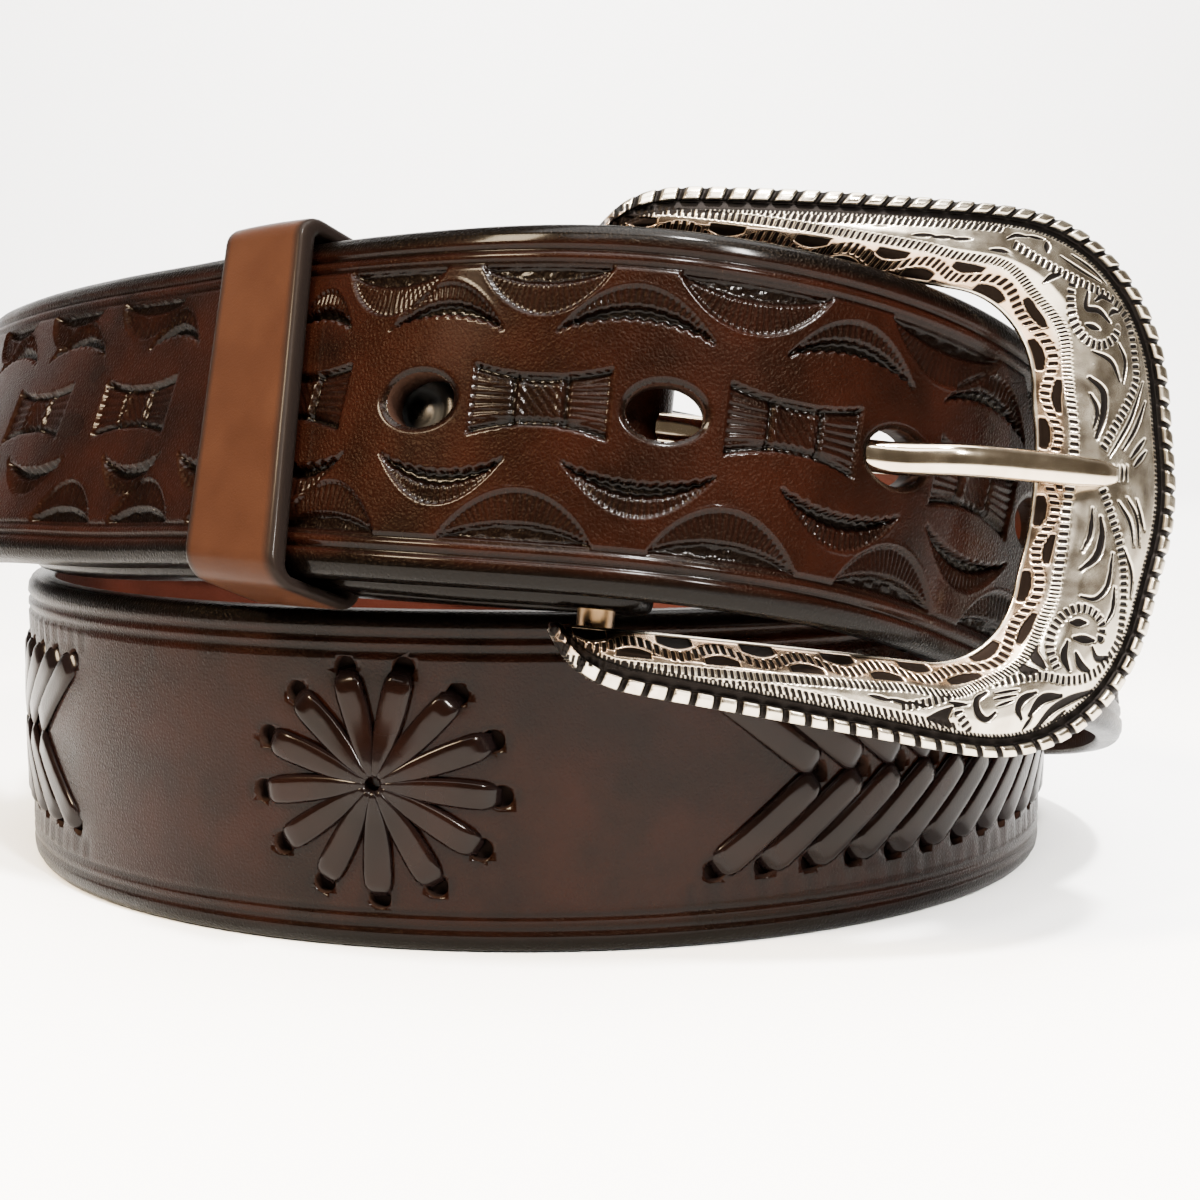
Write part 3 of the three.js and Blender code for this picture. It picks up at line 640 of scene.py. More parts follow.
# Its hollow edge is near y 0
def crescentStamp(x, y, half, rise, pitch):
    c = crescent
    bow = np.clip(1 - (x / half) ** 2, 0, None)
    outer = rise * bow
    teeth = c["toothRise"] * np.abs(((x / c["toothPitch"]) % 1) - 0.5)
    inner = c["hollow"] * rise * bow + teeth * (bow > 0.1) - 0.1
    within = np.abs(x) < half
    inside = softInside(np.minimum(outer - y, y - inner)) * within
    level = np.clip((y - inner) / np.maximum(outer - inner, 0.3), 0, 1)
    ribs = wave01(np.arctan2(x, y + c["fanDrop"]) * c["fanRibs"] / pitch)
    deep = smoothStep(c["deepShare"] - level, -0.1, 0.1)
    depth = inside * (c["floor"] + c["deepFloor"] * deep - (1 - deep) * ribs * c["ribRise"])
    beyond, width, height = c["rim"]
    rim = ridge(y - outer - beyond, width) * within
    cut = inside * np.clip(0.45 + 0.55 * deep + (0.5 - ribs) * 0.5 * (1 - deep), 0, 1)
    return height * rim - c["depth"] * depth, cut


def bowTieStamp(x, y, pitch):
    b = bowTie
    tall = b["waist"] + b["flare"] * (np.abs(x) / b["half"]) ** 2
    inside = softInside(np.minimum(tall - np.abs(y), b["half"] - np.abs(x)))
    wing = smoothStep(np.abs(x), b["wingStart"], b["wingStart"] + 0.2)
    ribs = wave01(y / (tall / b["waist"]) / (pitch * 1.05))
    slant = wave01((x + 0.8 * y) / (pitch * 1.5))
    bar = ridge(np.abs(x) - b["bar"][0], b["bar"][1])
    slit = ridge(np.abs(x) - b["slit"][0], b["slit"][1])
    edge = smoothStep(0.75 - (tall - np.abs(y)), -0.15, 0.15)
    depth = inside * (b["floor"] + 0.24 * edge - 0.17 * ribs * wing - 0.14 * slant * (1 - wing)
                      - 0.16 * bar + 0.25 * slit)
    cut = inside * np.clip(0.38 + 0.5 * edge + 0.6 * slit + 0.35 * (0.5 - ribs) * wing
                           + 0.3 * (0.5 - slant) * (1 - wing), 0, 1)
    return -b["depth"] * depth, cut


# Presses each stamp into the rows it reaches. length is one value a row
def stampAll(length, across, height, cut, pitch):
    def press(centre, reach, place):
        rows = np.nonzero(np.abs(length - centre) < reach)[0]
        if len(rows) == 0:
            return
        part = slice(rows[0], rows[-1] + 1)
        x = (length[part] - centre)[:, None] + 0 * across[part]
        down, dark = place(x, across[part])
        height[part] += down
        cut[part] = np.maximum(cut[part], dark)

    def stretch(centres, i):
        near = [abs(centres[i] - centres[j]) for j in (i - 1, i + 1) if 0 <= j < len(centres)]
        return min(1.0, min(near) / tooling["usualPitch"])

    rise, base = tooling["domeHeight"], tooling["domeBase"]
    for key, side in (("domes", 1), ("hanging", -1)):
        for i, centre in enumerate(tooling[key]):
            half = tooling["stampWidth"] / 2 * stretch(tooling[key], i)
            press(centre, half + 0.6, lambda x, t: domeStamp(x, side * t + base, half, rise, pitch))
    rise = tooling["crescentHeight"]
    for key, row, side in (("upper", tooling["upperRow"], 1), ("lower", tooling["lowerRow"], -1)):
        for i, centre in enumerate(tooling[key]):
            half = tooling["crescentWidth"] / 2 * stretch(tooling[key], i)
            press(centre, half + 0.4, lambda x, t: crescentStamp(x, side * (t - row), half, rise, pitch))
    for i, centre in enumerate(tooling["bowTies"]):
        share = stretch(tooling["bowTies"], i)
        press(centre, 7.4 * share, lambda x, t: bowTieStamp(x / share, t - tooling["bowTieHeight"], pitch))


lacing = {
    "rosetteTurn": 347.0,
    "rosetteSize": (13.75, 13.05),
    "petals": 13,
    "petalStart": -0.105,
    "petalWidth": 3.2,
    "pitch": 5.91,
    "count": 12,
    "rise": 11.0,
    "run": 13.2,
    "after": 37.0,
    "before": 47.2,
    "toRosette": 24.2,
    "holeRadius": 1.3,
    "holeDepth": 1.9,
    "laceThick": 0.85,
    "laceHalf": 1.9,
    "sideInset": 0.6,                   # from the panel's side to its lace holes
    "acrossLace": 9,                    # points over a lace's crown
    # share of the way along, level, width share, crown share
    "petal": [(0.06, 0.75, 0.22, 0.8), (0.12, 0.8, 0.34, 0.9), (0.22, 0.6, 0.54, 1), (0.34, 0.38, 0.76, 1),
              (0.50, 0.18, 0.92, 1), (0.65, 0.08, 1, 1), (0.78, 0.12, 1, 1), (0.87, 0.02, 0.96, 1),
              (0.93, -0.35, 0.84, 0.95), (0.97, -0.95, 0.72, 0.9), (1, -1.6, 0.66, 0.8)],
    "stitch": [(0, -1.7, 0.62, 0.8), (0.03, -1, 0.74, 0.9), (0.07, -0.5, 0.92, 1), (0.13, -0.25, 1, 1),
               (0.3, -0.2, 1, 1), (0.5, -0.15, 1, 1), (0.7, -0.12, 1, 1), (0.84, -0.12, 0.98, 1),
               (0.91, -0.4, 0.85, 1), (0.95, -1, 0.72, 0.9), (0.98, -1.6, 0.6, 0.8)],
}
centreLength = lengthOf(lacing["rosetteTurn"])
panelLength = (lacing["count"] - 1) * lacing["pitch"] + lacing["run"]
afterRosette = centreLength + lacing["after"] + panelLength + lacing["toRosette"]
beforeRosette = centreLength - lacing["before"] - panelLength - lacing["toRosette"]
rosettes = {
    "rosetteCentre": (centreLength, "rosette_centre"),
    "rosetteBuckleSide": (afterRosette, "rosette_buckle_side"),
    "rosetteTipSide": (beforeRosette, "rosette_tip_side"),
}
panels = {
    "chevronsCentreBuckleSide": (centreLength + lacing["after"], 1, "chevrons_centre_buckle_side"),
    "chevronsCentreTipSide": (centreLength - lacing["before"], -1, "chevrons_centre_tip_side"),
    "chevronsBuckleSide": (afterRosette + lacing["after"], 1, "chevrons_buckle_side"),
    "chevronsTipSide": (beforeRosette - lacing["after"], -1, "chevrons_tip_side"),
}


# Centre of each lace hole on the strap: length, height across
def laceHoles():
    places = []
    for centre, _ in rosettes.values():
        for k in range(lacing["petals"]):
            angle = k / lacing["petals"] * fullTurn + lacing["petalStart"]
            places.append((centre + lacing["rosetteSize"][0] * math.cos(angle),
                           lacing["rosetteSize"][1] * math.sin(angle)))
    for start, way, _ in panels.values():
        for k in range(lacing["count"]):
            for across in (lacing["sideInset"] - lacing["rise"], lacing["rise"] - lacing["sideInset"]):
                places.append((start + way * k * lacing["pitch"], across))
            places.append((start + way * (lacing["run"] - 0.5 + k * lacing["pitch"]), 0.0))
    return places


relief = {
    "edgeDrop": (0.30, 2.6, 1.5),       # depth, reach and power of the worn edge
    "holeLip": 0.42,
    "flute": (12.9, 1.25, 0.28),        # height across, half width and depth beside the lace holes
    "laceDip": (0.22, 2.2),             # depth and reach of the pull at each lace hole
}


# Height and darkness of the strap's face, rows by columns
def strapRelief(length, across, half, pitch):
    height, cut = np.zeros(across.shape), np.zeros(across.shape)
    fromEdge = half[:, None] - np.abs(across)
    for at, width, depth in tooling["grooves"]:
        line = ridge(fromEdge - at, width / 2)
        height -= depth * line
        cut = np.maximum(cut, 0.75 * line)
    drop, reach, power = relief["edgeDrop"]
    height -= drop * smoothStep(reach - fromEdge, 0, reach) ** power
    stampAll(length, across, height, cut, pitch)
    long, high = strap["holeSize"]
    for place in holePlaces:                              # worn lip round each hole
        beyond = np.clip(np.hypot((length[:, None] - place) / long * 2, across / high * 2) - 1, 0, None)
        lip = ridge(beyond, 0.10)
        height = height * (1 - lip * 0.8) - relief["holeLip"] * lip
        cut = np.maximum(cut * (1 - 0.5 * lip), 0.95 * ridge(beyond, 0.13))
    place, width, depth = relief["flute"]
    for start, way, _ in panels.values():                 # flutes beside the lace holes
        low, high = sorted((start - way * 3, start + way * lacing["pitch"] * (lacing["count"] + 0.5)))
        rows = np.nonzero((length > low) & (length < high))[0]
        if len(rows):
            band = smoothStep(width - np.abs(np.abs(across[rows]) - place), -0.3, 0.3)
            flute = wave01((length[rows] - start)[:, None] / (lacing["pitch"] / 2)) ** 2
            height[rows] -= depth * band * flute
            cut[rows] = np.maximum(cut[rows], 0.6 * band * flute)
    depth, reach = relief["laceDip"]
    for place, level in laceHoles():                      # leather pulled down at each lace hole
        rows = np.nonzero(np.abs(length - place) < 4)[0]
        if len(rows):
            far = np.hypot((length[rows] - place)[:, None], across[rows] - level)
            height[rows] -= depth * ridge(far, reach)
            cut[rows] = np.maximum(cut[rows], 0.8 * ridge(np.clip(far - 1.4, 0, None), 0.45))
    return height, cut


# Columns round the strap's section: share of the flat half width, extra beyond it, level, face share
def sectionColumns(faceCount, backCount, cornerSteps):
    outer, inner = strap["outerRound"], strap["innerRound"]
    rows = [(share, 0.0, 0.0, 1.0) for share in np.linspace(-1, 1, faceCount)]
    bends = [math.pi / 2 * k / cornerSteps for k in range(cornerSteps + 1)]
    rows += [(1, outer * math.sin(a), -outer * (1 - math.cos(a)), 0.0) for a in bends[1:]]
    rows += [(1, outer - inner * (1 - math.cos(a)), -thickness + inner * (1 - math.sin(a)), 0.0)
             for a in bends]
    back = [(share, 0.0, -thickness, -1.0) for share in np.linspace(1, -1, backCount)[1:-1]]
    edge = [(-share, -extra, level, kind) for share, extra, level, kind in rows[faceCount:]]
    return np.array(rows + back + edge[::-1])


def tipHalf(length):
    left = np.clip(1 - length / strap["tipTaper"], 0, 1)
    return np.maximum(strap["tipBluntness"], halfWidth * (1 - left ** 2.2) ** 0.62)


def narrowed(toBar):
    return halfWidth - strap["foldNarrowing"] * smoothStep(strap["narrowingLength"] - toBar, 0,
                                                           strap["narrowingLength"])


# A stretch of strap: frames are point, along, across and out for each row
def strapPiece(name, lengths, half, frames, columns, pitch, keep=None):
    share, extra, level, kind = columns.T
    across = share[None, :] * (half[:, None] - strap["outerRound"]) + extra[None, :]
    height, cut = strapRelief(lengths, across, half, pitch)
    onFace = (kind > 0.5)[None, :]
    keep = np.ones(len(lengths)) if keep is None else keep
    height, cut = height * onFace * keep[:, None], cut * onFace * keep[:, None]
    worn = ((kind == 0) & (level > -thickness / 2))[None, :] * keep[:, None]
    edgeDrop = -relief["edgeDrop"][0] * worn
    above = level[None, :] + height + edgeDrop
    point, _, acrossWay, out = frames
    points = (point[:, None] + acrossWay[:, None] * across[..., None] + out[:, None] * above[..., None])
    fromEdge = half[:, None] - np.abs(across)
    faceEdge, backEdge = smoothStep(2.9 - fromEdge, 0, 1.6), smoothStep(1.6 - fromEdge, 0, 1)
    edge = np.where(kind[None, :] == 0, 1.0, np.where(onFace, faceEdge, backEdge))
    behind = np.append((kind[:-1] < -0.5) | (kind[1:] < -0.5), kind[0] < -0.5)
    indices = np.append(np.tile(behind.astype(int), len(lengths) - 1), [0, 0])
    return tube(name, points, {"cut": cut, "edge": edge},
                [finish[key] for key in ("tooledLeather", "fleshLeather", "holeWall")], indices=indices)


def prismRing(length, halfLong, halfHigh, low, high, sides, across=0.0):
    frames = [f[0] for f in strapFrame(turnOf(length))]
    angle = np.arange(sides) / sides * fullTurn
    ring = (frames[0] + frames[2] * (across + halfHigh * np.sin(angle))[:, None]
            + frames[1] * (halfLong * np.cos(angle))[:, None])
    return np.stack([ring + frames[3] * low, ring + frames[3] * high])


# Takes the cutters away from the mesh and returns the piece
def cutAway(mesh, cutters, name, replaced):
    body = makeObject(name, mesh, replaced)
    rings = np.array(cutters)
    count, _, sides = rings.shape[:3]
    faces = []
    for k in range(count):
        base = k * 2 * sides
        faces += gridFaces(2, sides, start=base).tolist()
        faces.append([base + j for j in range(sides)][::-1])
        faces.append([base + sides + j for j in range(sides)])
    cutMesh = makeMesh(name + "Cuts", rings.reshape(-1, 3), faces, {"cut": np.ones(count * 2 * sides),
                       "edge": np.zeros(count * 2 * sides)}, list(mesh.materials),
                       np.full(len(faces), 2))
    cutter = bpy.data.objects.new(name + "Cuts", cutMesh)
    bpy.context.scene.collection.objects.link(cutter)
    change = body.modifiers.new("holes", "BOOLEAN")
    change.operation = "DIFFERENCE"
    change.solver = "MANIFOLD"
    change.object = cutter
    bpy.context.view_layer.update()
    graph = bpy.context.evaluated_depsgraph_get()
    result = bpy.data.meshes.new_from_object(body.evaluated_get(graph))
    body.modifiers.clear()
    body.data = result
    bpy.data.objects.remove(cutter)
    return body


strapSplits = (lengthOf(-29.4) + 7.6, 228.0)
strapDetail = {
    "strapTip": {"step": 0.3, "face": 116, "back": 10, "corner": 5, "pitch": 0.8},
    "strapFront": {"step": 0.22, "face": 150, "back": 10, "corner": 5, "pitch": 0.64},
    "strapLoop": {"step": 1.05, "face": 66, "back": 10, "corner": 5, "pitch": 2.4},
    "tipRows": [0, 0.25, 0.6, 1.0],
    "cutPast": 2,                       # how far the hole cutters reach past the leather
    "foldRows": (22, 40),
}


def rowsAt(lengths):
    return strapFrame(turnOf(lengths))


def leatherPiece(name, lengths, half, frames, keep=None):
    detail = strapDetail[name]
    columns = sectionColumns(detail["face"], detail["back"], detail["corner"])
    return strapPiece(name, lengths, half, frames, columns, detail["pitch"], keep)


def holeCuts(low, high, sides):
    (long, tall), past = strap["holeSize"], strapDetail["cutPast"]
    return [prismRing(place, long / 2, tall / 2, -thickness - past, past, sides)
            for place in holePlaces if low < place < high]


def buildStrap():
    start, step = strapSplits[0], strapDetail["strapTip"]["step"]
    lengths = np.concatenate([strapDetail["tipRows"], np.arange(1.5, start, step), [start]])
    mesh = leatherPiece("strapTip", lengths, tipHalf(lengths), rowsAt(lengths))
    makeObject("strapTip", mesh, "strap")
    count = round((strapSplits[1] - start) / strapDetail["strapFront"]["step"])
    lengths = np.linspace(*strapSplits, count + 1)
    mesh = leatherPiece("strapFront", lengths, tipHalf(lengths), rowsAt(lengths))
    cutAway(mesh, holeCuts(*strapSplits, 48), "strapFront", "strap")
    print("strap front ready")


# Rows round the bar and along the return layer, with their frames and half widths
def foldRows():
    bar = [f[0] for f in rowsAt(np.array([barLength]))]
    radius = strap["barRadius"] + strap["pieceGap"] + thickness
    centre = bar[0] - bar[3] * radius
    rows = []
    for angle in np.linspace(0, math.pi, strapDetail["foldRows"][0])[1:-1]:
        out = bar[3] * math.cos(angle) + bar[1] * math.sin(angle)
        rows.append((centre + out * radius, -np.cross(out, bar[2]), bar[2], out, narrowed(0)))
    for back in np.linspace(0, strap["foldLength"], strapDetail["foldRows"][1]):
        frame = [f[0] for f in rowsAt(np.array([barLength - back]))]
        close = float(smoothStep(back, 0, strap["foldBlend"]))
        depth = 2 * radius + (2 * thickness + strap["pieceGap"] - 2 * radius) * close
        rows.append((frame[0] - frame[3] * depth, -frame[1], frame[2], -frame[3], float(narrowed(back))))
    return rows


def buildLoop():
    step = strapDetail["strapLoop"]["step"]
    lengths = np.concatenate([np.arange(strapSplits[1], barLength, step), [barLength]])
    fold = foldRows()
    frames = [np.concatenate([way, [row[k] for row in fold]]) for k, way in enumerate(rowsAt(lengths))]
    half = np.concatenate([narrowed(barLength - lengths), [row[4] for row in fold]])
    places = np.concatenate([lengths, barLength + 1 + np.arange(len(fold))])
    keep = np.concatenate([np.ones(len(lengths)), np.zeros(len(fold))])
    mesh = leatherPiece("strapLoop", places, half, frames, keep)
    radius, deep, past = lacing["holeRadius"], lacing["holeDepth"], strapDetail["cutPast"]
    cuts = holeCuts(strapSplits[1], barLength, 32)
    cuts += [prismRing(place, radius, radius, -deep, past, 32, level) for place, level in laceHoles()]
    cutAway(mesh, cuts, "strapLoop", "strap")
    print("strap loop ready")


buildStrap()
buildLoop()

# Laces

# Path rows: length, across, level under the lace, half width, crown share
def laceSections(path):
    way = np.gradient(path[:, :2], axis=0)
    way /= np.linalg.norm(way, axis=1, keepdims=True)
    side = np.stack([-way[:, 1], way[:, 0]], 1)
    q = np.linspace(-1, 1, lacing["acrossLace"])
    crown = lacing["laceThick"] * (0.62 + 0.38 * (1 - np.abs(q) ** 5))
    at = path[:, None, :2] + side[:, None] * (path[:, 3][:, None] * np.concatenate([q, q[::-1]]))[..., None]
    above = path[:, 2][:, None] + np.concatenate([crown, np.zeros(len(q))])[None, :] * path[:, 4][:, None]
    return onStrap(at[..., 0], at[..., 1], above)


# The first and last three rows and the side edges of a lace are darkened through the cut mask. This is
# painted shade where the lace dives into its hole or bunches at a rosette's hub, and in the gaps where laces
# meet
def laceMesh(name, path, startShade, endShade, sideDark):
    sections = laceSections(np.array(path, float))
    dark = np.zeros(sections.shape[:2])
    dark[:3], dark[-3:] = startShade, endShade
    last = lacing["acrossLace"] - 1
    sides = [0, last, last + 1, 2 * last + 1]
    dark[:, sides] = np.maximum(dark[:, sides], sideDark)
    return tube(name, sections, {"cut": dark, "edge": np.zeros(dark.shape)}, [finish["laceLeather"]])


def buildRosette(name, centre, node):
    meshes = []
    for k in range(lacing["petals"]):
        angle = k / lacing["petals"] * fullTurn + lacing["petalStart"]
        long = lacing["rosetteSize"][0] * math.cos(angle)
        high = lacing["rosetteSize"][1] * math.sin(angle)
        path = [(centre + long * share, high * share, level, lacing["petalWidth"] / 2 * width, crown)
                for share, level, width, crown in lacing["petal"]]
        meshes.append(laceMesh(name, path, 0.75, 0.8, 0.7))
    makeObject(name, joinMeshes(name, meshes), node)


def buildPanel(name, start, way, node):
    meshes = []
    rise = lacing["rise"] - lacing["sideInset"]
    for k in range(lacing["count"]):
        first = start + way * k * lacing["pitch"]
        for side in (-1, 1):
            path = [(first + way * lacing["run"] * share, side * rise * (1 - share), level,
                     lacing["laceHalf"] * width, crown) for share, level, width, crown in lacing["stitch"]]
            meshes.append(laceMesh(name, path, 0.9, 0.9, 0.75))
    makeObject(name, joinMeshes(name, meshes), node)


for pieceName, (place, node) in rosettes.items():
    buildRosette(pieceName, place, node)
for pieceName, (place, way, node) in panels.items():
    buildPanel(pieceName, place, way, node)
print("laces ready")

# Keeper

keeper = {
    "turn": -29.4,
    "width": 13.6,
    "wall": 1.9,
    "frontWall": 2.3,
    "lowWall": 1.5,
    "slack": 0.55,
    "ease": 0.45,
    "tilt": 0.24,                       # how far the loop leans along the strap for each mm across
    "shiftAlong": 7.6,
    "frontRound": 3.2,
    "backRound": 3.4,
    "innerRound": 1.0,
    "cornerSteps": 9,
    "crown": 0.05,
    # along from the edge, share of the wall
    "rim": [(0.675, 0.0), (0.1, 0.12), (0.0, 0.35), (0.0, 0.62), (0.12, 0.84), (0.4, 0.97), (0.75, 1.0)],
    "flat": (1.6, 9),                   # from the edge, and points between
}


def buildKeeper():
    k = keeper
    start = lengthOf(k["turn"]) + k["shiftAlong"]
    half = k["width"] / 2

    # Closed path round the two layers: height across, share of the way to the back, extra outwards
    def ring(grow, front, low, frontRound, backRound):
        reach = halfWidth + k["slack"] + grow
        top, bottom = reach, -halfWidth - k["slack"] - low
        rows = []
        for a, o, turn, bend in [(top, 1, 0, frontRound), (bottom, 1, 90, frontRound),
                                 (bottom, -1, 180, backRound), (top, -1, 270, backRound)]:
            side = 1 if a > 0 else -1
            for step in np.linspace(0, 90, k["cornerSteps"]):
                angle = math.radians(turn + step)
                rows.append((a - side * bend + bend * math.cos(angle), o,
                             (front if o > 0 else -grow) - o * bend + bend * math.sin(angle)))
        return rows

    outer = ring(k["wall"], k["frontWall"], k["lowWall"], k["frontRound"], k["backRound"])
    hollow = ring(0, 0, 0, k["innerRound"], k["innerRound"])

    def place(along, rows):
        points = []
        for a, o, extra in rows:
            length = start + along - k["tilt"] * a
            turn = float(turnOf(length))
            point, _, across, out = [f[0] for f in strapFrame(turn)]
            inner = strapFrame(turn + 720)[0][0]
            gap, drop = float((point - inner) @ out), float((point - inner) @ across)
            base = k["ease"] if o > 0 else -(gap + thickness + 2 * k["ease"])
            sunk = np.clip((extra + base) / -(gap + thickness), 0, 1)
            points.append(point + across * (a - drop * sunk) + out * (base + extra))
        return np.array(points)

    profile = [(-half + along, share) for along, share in k["rim"]]
    inset, count = k["flat"]
    profile += [(x, 1.0) for x in np.linspace(-half + inset, half - inset, count)]
    profile += [(-x, share) for x, share in profile[6::-1]] + [(0.0, 0.0)]
    sections = []
    for along, share in profile:
        near, far = place(along, hollow), place(along, outer)
        crown = 1 + k["crown"] * (1 - (along / half) ** 2) * (share == 1.0)
        sections.append(near + (far - near) * share * crown)
    sections = np.array(sections).transpose(1, 0, 2)
    edge = np.array([max(float(smoothStep(abs(x), half - 1.25, half - 0.55)), float(share < 0.97))
                     for x, share in profile])
    mesh = tube("keeperLoop", sections, {"cut": np.zeros(sections.shape[:2]),
                "edge": np.tile(edge, (len(sections), 1))}, [finish["keeperLeather"]], closed=True)
    makeObject("keeperLoop", mesh, "keeper")


buildKeeper()
print("keeper ready")

# Buckle: x along it from the bar, z up it, depth away from the viewer

buckle = {
    "openingHalfHeight": 19.95,
    "openingRight": 45.2,
    "openingCorner": 10.0,
    "openingBow": 1.2,
    "frameLeft": 5.2,
    "frameRight": 63.4,
    "armHalfHeight": 26.5,
    "cornerHalfHeight": 29.5,
    "frameCorner": 20.8,
    "frameBow": 1.9,
    "armEndRound": 7.0,
    "arch": 100.4,
    "archCrest": 31.6,
    "dome": 1.9,
    "rim": 0.6,
    "back": 2.0,
    "barDepth": 4.0,
    "turn": 16.9,
    "drop": 0.45,
    "step": 0.15,
    "columns": 104,
    "outerEase": 700,
    "innerEase": 90,
    # share of the way out, then the depth, as a sum of rims, domes and mm
    "profile": [(0, 1.5, 0, 0), (0.05, 0.55, 0, 0), (0.14, -0.5, 0, 0), (0.26, 0, 0, -1.25),
                (0.38, 0, -0.97, 0), (0.5, 0, -1, 0), (0.62, 0, -0.97, 0), (0.75, 0, 0, -1.45),
                (0.86, -1.5, 0, 0), (1, -1, 0, 0)],
    # depth and inset of the rows over the outer side, back and inner side
    "outerSide": [(0.2, 0.0), (1.1, 0.05), (1.7, 0.2), (2.0, 0.6)],
    "innerSide": [(2.0, 0.5), (1.7, 0.15), (1.3, 0.0)],
    "backShares": (0.75, 0.5, 0.25),
    "leatherReflection": 0.62,                       # share of the painted reflection of the leather, a warm tint on the inner slope
    "leatherReflectionReach": 3.0,
    "beadPitch": 2.42,
    "beadSlant": 0.10,                  # turn of the rope for each mm inwards
    "ropeWidth": 1.45,
    "ropeRound": (0.65, 0.95),          # its middle from the outer edge, half width
    "ropeShade": (2.1, 0.85, 0.6),      # from the outer edge, half width, darkness
    "ropeRise": 0.75,
    "beadCut": 0.65,
    "channel": (1.98, 0.55, 0.45),      # from the outer edge, half width, depth
    "stipple": (2.72, 0.30, 0.12, 0.5),     # the same and the pitch
    "barSides": 32,
    "barChamfer": (0.3, 0.85),
}
barFrame = [f[0] for f in strapFrame(strap["barTurn"])]
foldRadius = strap["barRadius"] + strap["pieceGap"] + thickness
barCentre = barFrame[0] - barFrame[3] * foldRadius
buckleMiddle = barCentre - barFrame[2] * buckle["drop"]
turnAngle = math.radians(buckle["turn"])
buckleX = barFrame[1] * math.cos(turnAngle) - barFrame[3] * math.sin(turnAngle)
buckleY = -barFrame[1] * math.sin(turnAngle) - barFrame[3] * math.cos(turnAngle)
buckleZ = barFrame[2]


def archAt(x):
    return ((x - buckle["archCrest"]) ** 2 - buckle["archCrest"] ** 2) / (2 * buckle["arch"])


def inBuckle(x, y, z):
    return (buckleMiddle + np.multiply.outer(x, buckleX) + np.multiply.outer(y, buckleY)
            + np.multiply.outer(z, buckleZ))


def onBuckle(x, z, depth):
    return inBuckle(x, archAt(x) - buckle["barDepth"] + depth, z)


def lengthAlong(line):
    return np.concatenate([[0], np.cumsum(np.linalg.norm(np.diff(line, axis=0), axis=1))])


def pickAlong(line, at, where):
    return np.stack([np.interp(where, at, column) for column in line.T], 1)


# Matching points on the frame's outer and inner outlines, evenly spaced along the outer one
def frameOutline():
    b = buckle
    opening, arm, corner = b["openingHalfHeight"], b["armHalfHeight"], b["cornerHalfHeight"]
    innerStart = b["openingRight"] - b["openingBow"] - b["openingCorner"]
    outerStart = b["frameRight"] - b["frameBow"] - b["frameCorner"]
    armStart = b["armEndRound"] - b["frameLeft"]
    outer, inner = [], []
    for i in range(14):                                   # rounded end of the arm
        angle = math.radians(10 + 80 * i / 14)
        x = -b["frameLeft"] + b["armEndRound"] * (1 - math.cos(angle))
        outer.append((x, opening + (arm - opening) * math.sin(angle)))
        inner.append((x, opening))
    for u in np.arange(60) / 60:                          # arm
        outer.append((armStart + (outerStart - armStart) * u, arm + (corner - arm) * u))
        inner.append((armStart + (innerStart - armStart) * u, opening))
    for u in np.arange(60) / 60:                          # corner
        angle = math.radians(90 * (1 - u))
        for line, start, top, round_ in ((outer, outerStart, corner, b["frameCorner"]),
                                         (inner, innerStart, opening, b["openingCorner"])):
            line.append((start + round_ * math.cos(angle), top - round_ + round_ * math.sin(angle)))
    for u in 1 - np.arange(31) / 30:                      # bowed right side, down to the middle
        outer.append((b["frameRight"] - b["frameBow"] * u * u, (corner - b["frameCorner"]) * u))
        inner.append((b["openingRight"] - b["openingBow"] * u * u, (opening - b["openingCorner"]) * u))
    outer, inner = [np.concatenate([line, np.array(line)[-2::-1] * [1, -1]]) for line in (outer, inner)]
    at = lengthAlong(outer)
    even = np.linspace(0, at[-1], round(at[-1] / b["step"]))
    outer, inner = pickAlong(outer, at, even), pickAlong(inner, at, even)
    for line, passes in ((outer, b["outerEase"]), (inner, b["innerEase"])):
        for _ in range(passes):                           # eases the joins of straight and round
            line[1:-1] = (line[:-2] + 2 * line[1:-1] + line[2:]) / 4
    return outer, inner, even


# 0 on a tooth, 1 in the slit beside it
def comb(phase, sharp=1.4):
    return np.clip(1.4 * np.clip(0.5 - 0.5 * np.cos(phase * fullTurn), 0, 1) ** sharp, 0, 1)


# Centripetal spline through the points, evenly spaced
def catmull(points, steps):
    points = np.array(points, float)
    points = np.concatenate([[2 * points[0] - points[1]], points, [2 * points[-1] - points[-2]]])
    line = []
    for k in range(1, len(points) - 2):
        p0, p1, p2, p3 = points[k - 1:k + 3]
        t0 = 0.0
        t1 = t0 + np.linalg.norm(p1 - p0) ** 0.5
        t2 = t1 + np.linalg.norm(p2 - p1) ** 0.5
        t3 = t2 + np.linalg.norm(p3 - p2) ** 0.5
        t = np.linspace(t1, t2, 60, endpoint=False)[:, None]
        a1 = (t1 - t) / (t1 - t0) * p0 + (t - t0) / (t1 - t0) * p1
        a2 = (t2 - t) / (t2 - t1) * p1 + (t - t1) / (t2 - t1) * p2
        a3 = (t3 - t) / (t3 - t2) * p2 + (t - t2) / (t3 - t2) * p3
        b1 = (t2 - t) / (t2 - t0) * a1 + (t - t0) / (t2 - t0) * a2
        b2 = (t3 - t) / (t3 - t1) * a2 + (t - t1) / (t3 - t1) * a3
        line.append((t2 - t) / (t2 - t1) * b1 + (t - t1) / (t2 - t1) * b2)
    line = np.concatenate(line + [points[-2:-1]])
    at = lengthAlong(line)
    return pickAlong(line, at, np.linspace(0, at[-1], steps))


